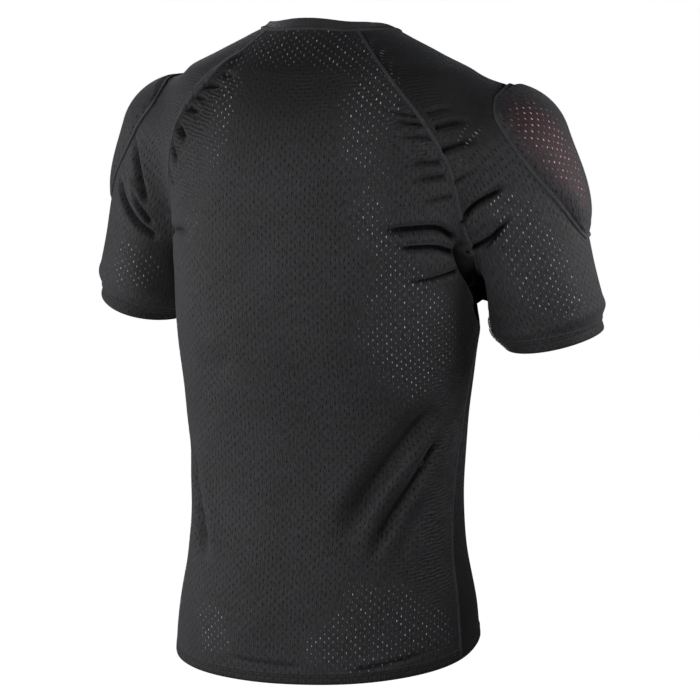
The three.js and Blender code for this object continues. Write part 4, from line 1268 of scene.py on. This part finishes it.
def knit_material(name, colour):
    """Returns the knit with its holes, yarn and relief."""
    material = bpy.data.materials.new(name)
    material.use_nodes = True
    tree = material.node_tree
    shader = tree.nodes["Principled BSDF"]
    uv = tree.nodes.new("ShaderNodeUVMap")
    uv.uv_map = "cloth_mm"
    parts = tree.nodes.new("ShaderNodeSeparateXYZ")
    tree.links.new(uv.outputs["UV"], parts.inputs[0])
    across = parts.outputs["X"]
    up = parts.outputs["Y"]
    place = tree.nodes.new("ShaderNodeTexCoord").outputs["Object"]
    light_through = attribute_node(tree, "light_through")
    foam = attribute_node(tree, "foam_and_glow")
    ripple_mask = attribute_node(tree, "ripple")
    plain = attribute_node(tree, "plain")
    doubled = attribute_node(tree, "doubled")
    painted_shade = attribute_node(tree, "painted_shade")
    fold = attribute_node(tree, "fold")

    # the holes
    first_gap, first_chance = hole_lattice(tree, across, up, 0.0)
    second_gap, second_chance = hole_lattice(tree, across, up, 0.5)
    gap = math_node(tree, "MINIMUM", first_gap, second_gap)
    first_is_near = math_node(tree, "LESS_THAN", first_gap, second_gap)
    chance = math_node(tree, "SUBTRACT", first_chance, second_chance)
    chance = math_node(tree, "MULTIPLY_ADD", chance, first_is_near, second_chance)
    openness = math_node(tree, "MULTIPLY_ADD", chance, 0.5, 0.5)
    openness = math_node(tree, "MULTIPLY", openness, soft_step(tree, plain, 0.1, 0.9, 1.0, 0.3))
    ring = math_node(tree, "MULTIPLY", soft_step(tree, gap, 0.6, 1.5, 1.0, 0.0), openness)
    core = soft_step(tree, gap, 0.42, 0.98, 1.0, 0.0)
    spread = math_node(tree, "MULTIPLY_ADD", math_node(tree, "POWER", chance, 2.5), 0.85, 0.2)
    # painted light: where light would come through, a hole's core is painted pale
    open_here = soft_step(tree, light_through, 0.12, 0.85)
    open_here = math_node(tree, "MULTIPLY", open_here, math_node(tree, "SUBTRACT", 1.0, doubled))
    lit = math_node(tree, "MULTIPLY", open_here, spread)
    foam_spread = math_node(tree, "ADD", chance, 0.35)
    foam_lit = soft_step(tree, math_node(tree, "MULTIPLY", foam, foam_spread), 0.12, 0.95)

    # the yarn between them
    upright = streaks(tree, across, up, 1.15, 7.0)
    level = streaks(tree, across, up, 9.0, 1.5)
    fibre = noise_node(tree, place, FIBRE_SCALE, 2.0)
    cloud = noise_node(tree, place, 16.0, 2.0)
    yarn = mix_values(tree, ripple_mask, upright, level)
    shade = math_node(tree, "MULTIPLY_ADD", yarn, 1.15, fibre)
    shade = math_node(tree, "MULTIPLY_ADD", cloud, 0.3, shade)
    dark = tuple(c * 0.2 for c in colour)
    light = tuple(c * 1.95 for c in colour)
    cloth = mix_colours(tree, soft_step(tree, shade, 0.8, 1.65), dark, light)
    # painted shade: the knit is darkened at the shade spots and nearly to black in the creases; a
    # doubled band is darker for its two layers
    painted_darkening = soft_step(tree, painted_shade, 0.0, 1.5, 0.0, 0.82)
    closed = math_node(tree, "MAXIMUM", painted_darkening, math_node(tree, "MULTIPLY", doubled, 0.5))
    closed = math_node(tree, "MAXIMUM", closed, soft_step(tree, fold, 0.0, 1.0, 0.0, 0.88))
    cloth = mix_colours(tree, closed, cloth, DEEP_SHADE)
    hole = mix_colours(tree, ring, cloth, DEEP_SHADE)
    # painted light: the hole's core is painted pale
    seen = mix_colours(tree, math_node(tree, "MULTIPLY", core, lit), hole, LIT_HOLE)
    # the foam's own red tints the cloth faintly, and the painted glow makes the holes over it pale pink
    tinted = mix_colours(tree, math_node(tree, "MULTIPLY", foam, 0.1), seen, FOAM_TINT)
    over_foam = math_node(tree, "MULTIPLY", core, foam_lit)
    finished = mix_colours(tree, over_foam, tinted, FOAM_LIT_HOLE)
    tree.links.new(finished, shader.inputs["Base Color"])

    # the relief
    wobble = math_node(tree, "MULTIPLY", noise_node(tree, place, 90.0, 1.0), 9.0)
    waves = math_node(tree, "MULTIPLY_ADD", up, 4 * math.pi / HOLE_STEP_UP, wobble)
    ripple = math_node(tree, "SINE", waves)
    patchy = soft_step(tree, noise_node(tree, place, 55.0, 0.0), 0.3, 0.55)
    ripple = math_node(tree, "MULTIPLY", math_node(tree, "MULTIPLY", ripple, patchy), ripple_mask)
    height = math_node(tree, "MULTIPLY", ring, -0.55)
    height = math_node(tree, "MULTIPLY_ADD", ripple, 0.3, height)
    height = math_node(tree, "MULTIPLY_ADD", yarn, 0.7, height)
    height = math_node(tree, "MULTIPLY_ADD", fibre, 0.34, height)
    tree.links.new(add_bump(tree, height, 0.8), shader.inputs["Normal"])
    tree.links.new(soft_step(tree, ring, 0.0, 1.0, 0.72, 0.95), shader.inputs["Roughness"])
    # painted shade: the creases lose their gloss and sheen
    tree.links.new(soft_step(tree, fold, 0.0, 0.9, 0.22, 0.02), shader.inputs["Specular IOR Level"])
    tree.links.new(soft_step(tree, fold, 0.0, 0.9, 0.1, 0.0), shader.inputs["Sheen Weight"])
    shader.inputs["Sheen Roughness"].default_value = SHEEN_ROUGHNESS
    shader.inputs["Sheen Tint"].default_value = SHEEN_TINT
    return material


body_knit = knit_material("body_mesh_knit", CHARCOAL)
print("knit nodes:", len(body_knit.node_tree.nodes))

# %% [markdown]
# ## Making a cloth piece
# A bmesh grid has a vertex for each point of the surface. Its vertices are moved to their
# places, and the UV map and the masks are stored. The columns are turned round where the
# faces would point into the shirt. Jersey is thin, so a panel is one layer that is doubled
# only where it is turned up. Solidify gives a thickness inwards to a piece that needs one.

# %% Cloth piece maker


def add_to_scene(name, mesh, material):
    piece = bpy.data.objects.new(name, mesh)
    piece.data.materials.append(material)
    bpy.context.scene.collection.objects.link(piece)
    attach(piece, "root")
    return piece


def cloth_piece(name, surface, material, thickness=0.0):
    points = surface["points"]
    across = points[1:, :-1] - points[:-1, :-1]
    along = points[:-1, 1:] - points[:-1, :-1]
    facing = dot(np.cross(along, across), surface["normal"][:-1, :-1]).sum()
    order = slice(None) if facing > 0 else slice(None, None, -1)
    points = points[:, order]
    rows, columns = points.shape[:2]
    sheet = bmesh.new()
    bmesh.ops.create_grid(sheet, x_segments=columns - 1, y_segments=rows - 1, size=1)
    mesh = bpy.data.meshes.new(name)
    sheet.to_mesh(mesh)
    sheet.free()
    mesh.vertices.foreach_set("co", (points * MM).ravel())
    corner = np.zeros(len(mesh.loops), int)
    mesh.loops.foreach_get("vertex_index", corner)
    for old in list(mesh.uv_layers):
        mesh.uv_layers.remove(old)
    uv_layer = mesh.uv_layers.new(name="cloth_mm")
    uv_layer.data.foreach_set("uv", surface["uv"][:, order].reshape(-1, 2)[corner].ravel())
    for mask_name, values in surface["masks"].items():
        mask = mesh.attributes.new(mask_name, "FLOAT", "POINT")
        mask.data.foreach_set("value", np.ascontiguousarray(values[:, order], np.float32).ravel())
    mesh.polygons.foreach_set("use_smooth", np.ones(len(mesh.polygons), bool))
    mesh.update()
    piece = add_to_scene(name, mesh, material)
    if thickness:
        wall = piece.modifiers.new("thickness", "SOLIDIFY")
        wall.thickness = thickness * MM
        wall.offset = -1
    return piece


def sheet_area(surface):
    """Returns the area of a surface in square metres."""
    p = surface["points"] * MM
    cell = np.cross(p[1:, :-1] - p[:-1, :-1], p[:-1, 1:] - p[:-1, :-1])
    return float(np.linalg.norm(cell, axis=-1).sum())


back = cloth_piece("back_panel_cloth", back_surface, body_knit)
front = cloth_piece("front_panel_cloth", front_surface, body_knit)
sleeves = {
    side: cloth_piece(f"sleeve_{side}_cloth", surface, body_knit)
    for side, surface in sleeve_surfaces.items()
}
covers = {
    side: cloth_piece(f"pad_cover_{side}_cloth", surface, body_knit, thickness=COVER_THICKNESS)
    for side, surface in cover_surfaces.items()
}
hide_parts("back_panel")
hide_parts("front_panel")
for side in ("left", "right"):
    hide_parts(f"sleeve_{side}")
    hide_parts(f"pad_cover_{side}")
for surface_name, surface in cloth_surfaces.items():
    print(surface_name, "area:", round(sheet_area(surface), 3), "m2")

# %% [markdown]
# ## The foam pads
# The foam hides under its cover and shows only as red through the holes. It is still a whole
# piece: a closed block that follows the shoulder, thick in the middle and thin at its edge,
# with rows of shallow dimples as moulded foam has.

# %% Foam pads
FOAM_RED = (0.42, 0.035, 0.04)


def foam_material():
    material = plain_material("red_foam", FOAM_RED, 0.9)
    tree = material.node_tree
    shader = tree.nodes["Principled BSDF"]
    place = tree.nodes.new("ShaderNodeTexCoord").outputs["Object"]
    cells = tree.nodes.new("ShaderNodeTexVoronoi")
    cells.inputs["Scale"].default_value = 900
    tree.links.new(place, cells.inputs["Vector"])
    pores = soft_step(tree, cells.outputs["Distance"], 0.05, 0.5)
    deep = tuple(c * 0.6 for c in FOAM_RED)
    tree.links.new(mix_colours(tree, pores, deep, FOAM_RED), shader.inputs["Base Color"])
    tree.links.new(add_bump(tree, math_node(tree, "MULTIPLY", pores, 0.3), 0.6), shader.inputs["Normal"])
    return material


def pad_piece(name, top, under, material):
    """Builds a closed pad: a sheet, and a copy of it that rises to the crowned top."""
    rows, columns = top.shape[:2]
    foam = bmesh.new()
    bmesh.ops.create_grid(foam, x_segments=columns - 1, y_segments=rows - 1, size=1)
    number = foam.verts.layers.int.new("number")
    for i, vert in enumerate(foam.verts):
        vert[number] = i
    copied = bmesh.ops.extrude_face_region(foam, geom=list(foam.faces), use_keep_orig=True)
    upper = {element for element in copied["geom"] if isinstance(element, bmesh.types.BMVert)}
    for vert in foam.verts:
        places = top if vert in upper else under
        vert.co = Vector(places.reshape(-1, 3)[vert[number]] * MM)
    bmesh.ops.recalc_face_normals(foam, faces=foam.faces)
    for face in foam.faces:
        face.smooth = True
    mesh = bpy.data.meshes.new(name)
    foam.to_mesh(mesh)
    foam.free()
    pad = add_to_scene(name, mesh, material)
    return pad


red_foam = foam_material()
pad_grid, pad_a, pad_b = pad_places(64, 52, COVER_MARGIN)
dimples = 0.5 * ramp((np.cos(pad_a * 70) * np.cos(pad_b * 28) - 0.35) * 3)
for side, mirror in (("left", 1), ("right", MIRROR)):
    pad_lift = PAD_TOP_RISE + PAD_FULLNESS[side] * pad_thickness(pad_a, pad_b) - dimples
    top, _, _ = cloth_points(pad_grid * mirror, pad_lift)
    under, _, _ = cloth_points(pad_grid * mirror, PAD_UNDER_RISE)
    pad = pad_piece(f"shoulder_pad_{side}_foam", top, under, red_foam)
    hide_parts(f"shoulder_pad_{side}")
    print(side, "foam is", round(float((pad_lift - PAD_UNDER_RISE).max()), 1), "mm thick in the middle")

# %% [markdown]
# ## The neck band
# The neck is finished with a narrow folded band of plain knit. It rises from the neckline as
# a low ribbed collar, rounded over at its top edge, and its underside is sewn to the panels.

# %% Neck band
NECK_BAND_HEIGHT = 11
NECK_BAND_OUTSIDE = 2.4
NECK_BAND_THICKNESS = 2.0
NECK_TURNS = 300
NECK_STEPS = 14


def plain_knit_material(name, colour, rib_step):
    """Returns the plain ribbed knit of the bands and seam tapes."""
    material = plain_material(name, colour, 0.78)
    tree = material.node_tree
    shader = tree.nodes["Principled BSDF"]
    uv = tree.nodes.new("ShaderNodeUVMap")
    uv.uv_map = "cloth_mm"
    parts = tree.nodes.new("ShaderNodeSeparateXYZ")
    tree.links.new(uv.outputs["UV"], parts.inputs[0])
    turns = math_node(tree, "MULTIPLY", parts.outputs["X"], 2 * math.pi / rib_step)
    rib = math_node(tree, "SINE", turns)
    place = tree.nodes.new("ShaderNodeTexCoord").outputs["Object"]
    fibre = noise_node(tree, place, FIBRE_SCALE, 2.0)
    cloud = noise_node(tree, place, 40.0, 2.0)
    mottle = math_node(tree, "ADD", fibre, math_node(tree, "MULTIPLY", cloud, 0.6))
    shade = math_node(tree, "MULTIPLY_ADD", rib, 0.12, mottle)
    dark = tuple(c * 0.6 for c in colour)
    light = tuple(c * 1.5 for c in colour)
    finished = mix_colours(tree, soft_step(tree, shade, 0.45, 1.15), dark, light)
    tree.links.new(finished, shader.inputs["Base Color"])
    height = math_node(tree, "MULTIPLY_ADD", rib, 0.12, math_node(tree, "MULTIPLY", fibre, 0.25))
    tree.links.new(add_bump(tree, height, 0.8), shader.inputs["Normal"])
    shader.inputs["Specular IOR Level"].default_value = 0.22
    shader.inputs["Sheen Weight"].default_value = 0.16
    shader.inputs["Sheen Roughness"].default_value = SHEEN_ROUGHNESS
    shader.inputs["Sheen Tint"].default_value = SHEEN_TINT
    return material


def neck_band_grid():
    """Returns rings that step up the figure from the neckline."""
    turns = np.linspace(0, 360, NECK_TURNS)
    ring = neckline_points(turns)
    rings = [ring]
    for _ in range(NECK_STEPS):
        along = unit(np.gradient(ring, axis=0))
        along[0] = unit(ring[1] - ring[-2])
        along[-1] = along[0]
        normal, _ = normals_of(ring)
        upward = unit(np.cross(normal, along))
        upward = upward * np.sign(upward[:, 2:3])
        ring = onto_figure(ring + upward * NECK_BAND_HEIGHT / NECK_STEPS)
        rings.append(ring)
    return np.stack(rings)


band_knit = plain_knit_material("band_knit", (0.017, 0.0165, 0.018), 1.3)
neck_grid = neck_band_grid()
neck_level = np.linspace(0, 1, NECK_STEPS + 1)[:, None]
neck_roll = (NECK_BAND_OUTSIDE - CLOTH_OUTSIDE) * np.sin(math.pi * neck_level) ** 0.6
neck_surface = lay_surface(neck_grid, neck_roll)
neck_band = cloth_piece("neck_band_cloth", neck_surface, band_knit, NECK_BAND_THICKNESS)
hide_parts("neck_band")
print("neck band rings:", len(neck_grid))

# %% [markdown]
# ## Seams
# The pieces are joined by flatlock seams, which lie on the cloth as a narrow raised cord.
# Each seam is a ribbon along its seam curve. Its cross-section is an arch whose edges dip just
# under the cloth, and it sinks and rises with the creases because lay_surface places it too.

# %% Seam ribbons
SEAM_HALF_WIDTH = 1.9
SEAM_HEIGHT = 1.15
SEAM_EDGE = -0.25
SEAM_STEPS = 9
SEAM_SPACING = 1.6


def mirrored(curve):
    return lambda t: curve(t) * MIRROR


def edge_curve(grid):
    """Returns the closed outline of a grid of points as a curve."""
    outline = np.concatenate([grid[:-1, 0], grid[-1, :-1], grid[:0:-1, -1], grid[0, :0:-1], grid[:1, 0]])
    passed = np.concatenate([[0], np.cumsum(np.linalg.norm(np.diff(outline, axis=0), axis=1))])
    share = passed / passed[-1]
    return lambda t: np.stack([np.interp(t, share, outline[:, axis]) for axis in range(3)], -1)


SEAMS = {}
for side, mirror in (("left", lambda curve: curve), ("right", mirrored)):
    SEAMS[f"back_raglan_{side}"] = (mirror(back_raglan), 0.0, False)
    SEAMS[f"front_raglan_{side}"] = (mirror(front_raglan), 0.0, False)
    SEAMS[f"side_{side}"] = (mirror(side_seam), 0.0, False)
    SEAMS[f"underarm_{side}"] = (mirror(underarm_seam), 0.0, False)
    SEAMS[f"cover_{side}"] = (mirror(edge_curve(cover_grid)), 1.0, True)
SEAMS["neck"] = (lambda t: neckline_points(t * 360), 0.4, True)


def seam_frame(curve, count, closed):
    """Returns seam points and the way across the seam at each."""
    line = curve(np.linspace(0, 1, count))
    if closed:
        around = np.concatenate([line[-2:-1], line, line[1:2]])
        along = unit(np.gradient(around, axis=0)[1:-1])
    else:
        along = unit(np.gradient(line, axis=0))
    normal, _ = normals_of(line)
    return line, unit(np.cross(normal, along))


def curve_length(curve):
    return float(np.linalg.norm(np.diff(curve(np.linspace(0, 1, 200)), axis=0), axis=1).sum())


def seam_ribbon(name, curve, rise, closed):
    count = int(curve_length(curve) / SEAM_SPACING) + 2
    line, across = seam_frame(curve, count, closed)
    s = np.linspace(-1, 1, SEAM_STEPS)
    grid = onto_figure(line[:, None] + across[:, None] * (s * SEAM_HALF_WIDTH)[None, :, None])
    arch = SEAM_EDGE + (SEAM_HEIGHT - SEAM_EDGE) * np.sqrt(1 - s**4)
    surface = lay_surface(grid, rise + np.broadcast_to(arch, grid.shape[:2]))
    return cloth_piece(f"seam_{name}", surface, seam_knit)


seam_knit = plain_knit_material("seam_thread", (0.021, 0.0205, 0.0225), 1.0)
seam_pieces = {name: seam_ribbon(name, *seam) for name, seam in SEAMS.items()}
print("seams:", len(seam_pieces), "raglan length:", round(curve_length(back_raglan)), "mm")

# %% [markdown]
# ## Stitches
# A row of short stitches runs along each side of a seam, and two rows hold each turned-up
# band. One stitch is a small round bead, stretched along the row and pressed flat. The
# beads of a row are joined in one mesh, because thousands of objects would be slow.

# %% Stitch rows
STITCH_PITCH = 2.9
STITCH_SIZE = (1.05, 0.3, 0.26)
STITCH_LINE_STEP = 3
STITCH_OFFSETS = (-1.0, 1.0)
STITCH_RISE = 0.9
BAND_STITCH_RISE = 0.55


def stitch_row(beads, line, side_way, offset, rise):
    """Adds stitches beside a line of figure points. Returns how many."""
    passed = np.concatenate([[0], np.cumsum(np.linalg.norm(np.diff(line, axis=0), axis=1))])
    places = np.arange(STITCH_PITCH / 2, passed[-1], STITCH_PITCH)
    beside = onto_figure(line + side_way * offset)
    row = np.stack([np.interp(places, passed, beside[:, axis]) for axis in range(3)], -1)
    points, normal, _ = cloth_points(row, rise)
    along = unit(np.gradient(points, axis=0))
    across = unit(np.cross(normal, along))
    outward = np.cross(along, across)
    for i, point in enumerate(points):
        turn = Matrix((along[i], across[i], outward[i])).transposed().to_4x4()
        place = Matrix.Translation(Vector(point * MM)) @ turn
        size = Matrix.Diagonal(Vector(STITCH_SIZE) * MM).to_4x4()
        bmesh.ops.create_icosphere(beads, subdivisions=1, radius=1, matrix=place @ size)
    return len(points)


def stitch_piece(name, rows):
    beads = bmesh.new()
    count = sum(stitch_row(beads, *row) for row in rows)
    for face in beads.faces:
        face.smooth = True
    mesh = bpy.data.meshes.new(name)
    beads.to_mesh(mesh)
    beads.free()
    piece = add_to_scene(name, mesh, thread)
    return piece, count


def thread_material():
    material = plain_material("sewing_thread", (0.024, 0.0235, 0.026), 0.6)
    tree = material.node_tree
    place = tree.nodes.new("ShaderNodeTexCoord").outputs["Object"]
    twist = noise_node(tree, place, 2600.0, 1.0)
    shades = mix_colours(tree, twist, (0.012, 0.012, 0.013), (0.04, 0.039, 0.042))
    shader = tree.nodes["Principled BSDF"]
    tree.links.new(shades, shader.inputs["Base Color"])
    tree.links.new(add_bump(tree, math_node(tree, "MULTIPLY", twist, 0.1), 0.6), shader.inputs["Normal"])
    shader.inputs["Specular IOR Level"].default_value = 0.3
    return material


thread = thread_material()
stitch_pieces = {}
stitch_count = 0
for name, (curve, rise, closed) in SEAMS.items():
    line, across = seam_frame(curve, int(curve_length(curve) / STITCH_LINE_STEP) + 2, closed)
    rows = [(line, across, offset, rise + STITCH_RISE) for offset in STITCH_OFFSETS]
    stitch_pieces[name], count = stitch_piece(f"stitches_{name}", rows)
    stitch_count += count


def band_rows(grid, band):
    """Returns the two stitch rows of a turned-up band, from the grid it is the start of."""
    length = arc_map(grid, 0, grid.shape[1] // 2)[..., 1]
    rows = []
    for inset in BAND_STITCH_INSETS:
        columns = np.arange(grid.shape[1])
        row_numbers = np.arange(len(length))
        share = [np.interp(band - inset, length[:, column], row_numbers) for column in columns]
        low = np.floor(share).astype(int)
        part = (np.array(share) - low)[:, None]
        line = grid[low, columns] * (1 - part) + grid[low + 1, columns] * part
        rows.append((line, np.zeros_like(line), 0.0, BAND_STITCH_RISE))
    return rows


BANDS = {
    "hem_back": (back_grid, HEM_BAND),
    "hem_front": (front_grid, HEM_BAND),
    "cuff_left": (left_sleeve_grid[::-1], CUFF_BAND),
    "cuff_right": (left_sleeve_grid[::-1] * MIRROR, CUFF_BAND),
}
for name, (grid, band) in BANDS.items():
    stitch_pieces[name], count = stitch_piece(f"stitches_{name}", band_rows(grid, band))
    stitch_count += count
print("stitches:", stitch_count)

# %% [markdown]
# ## The cut of each sheet
# Every piece of cloth is listed with the size it was cut to. The knit is stretched over the
# figure by about a twelfth of its area, so a cut is that much smaller than the sheet as it is
# worn. The width and length are of the rectangle round the cut. Each row also lists the seams
# and stitches sewn on the piece, and the loop gathers them but does nothing more with them.

CUTS = {
    # piece: its surface, width and length in metres, and the seams and bands sewn on it
    "back_panel_cloth": (
        back_surface, 0.46, 0.675,
        ("back_raglan_left", "back_raglan_right", "side_left", "side_right", "hem_back"),
    ),
    "front_panel_cloth": (
        front_surface, 0.465, 0.66, ("front_raglan_left", "front_raglan_right", "hem_front")
    ),
    "sleeve_left_cloth": (sleeve_surfaces["left"], 0.43, 0.5, ("underarm_left", "cuff_left")),
    "sleeve_right_cloth": (sleeve_surfaces["right"], 0.43, 0.5, ("underarm_right", "cuff_right")),
    "pad_cover_left_cloth": (cover_surfaces["left"], 0.13, 0.17, ("cover_left",)),
    "pad_cover_right_cloth": (cover_surfaces["right"], 0.13, 0.17, ("cover_right",)),
    "neck_band_cloth": (neck_surface, 0.45, 0.012, ("neck",)),
}
for piece_name, (surface, width, length, sewn_on) in CUTS.items():
    going_with = []
    for name in sewn_on:
        going_with += [pieces[name] for pieces in (seam_pieces, stitch_pieces) if name in pieces]

# %% [markdown]
# ## Counting the triangles
# A model that others open should not be heavier than it needs to be. The count is taken with
# the modifiers applied, because Solidify adds faces of its own.

# %% Count the triangles


def triangle_count(thing):
    mesh = thing.evaluated_get(bpy.context.evaluated_depsgraph_get()).data
    mesh.calc_loop_triangles()
    return len(mesh.loop_triangles)


scene_things = bpy.context.scene.objects
shown = [thing for thing in scene_things if thing.type == "MESH" and not thing.hide_render]
counts = [triangle_count(thing) for thing in shown]
print("triangles:", sum(counts), "most in a piece:", max(counts))
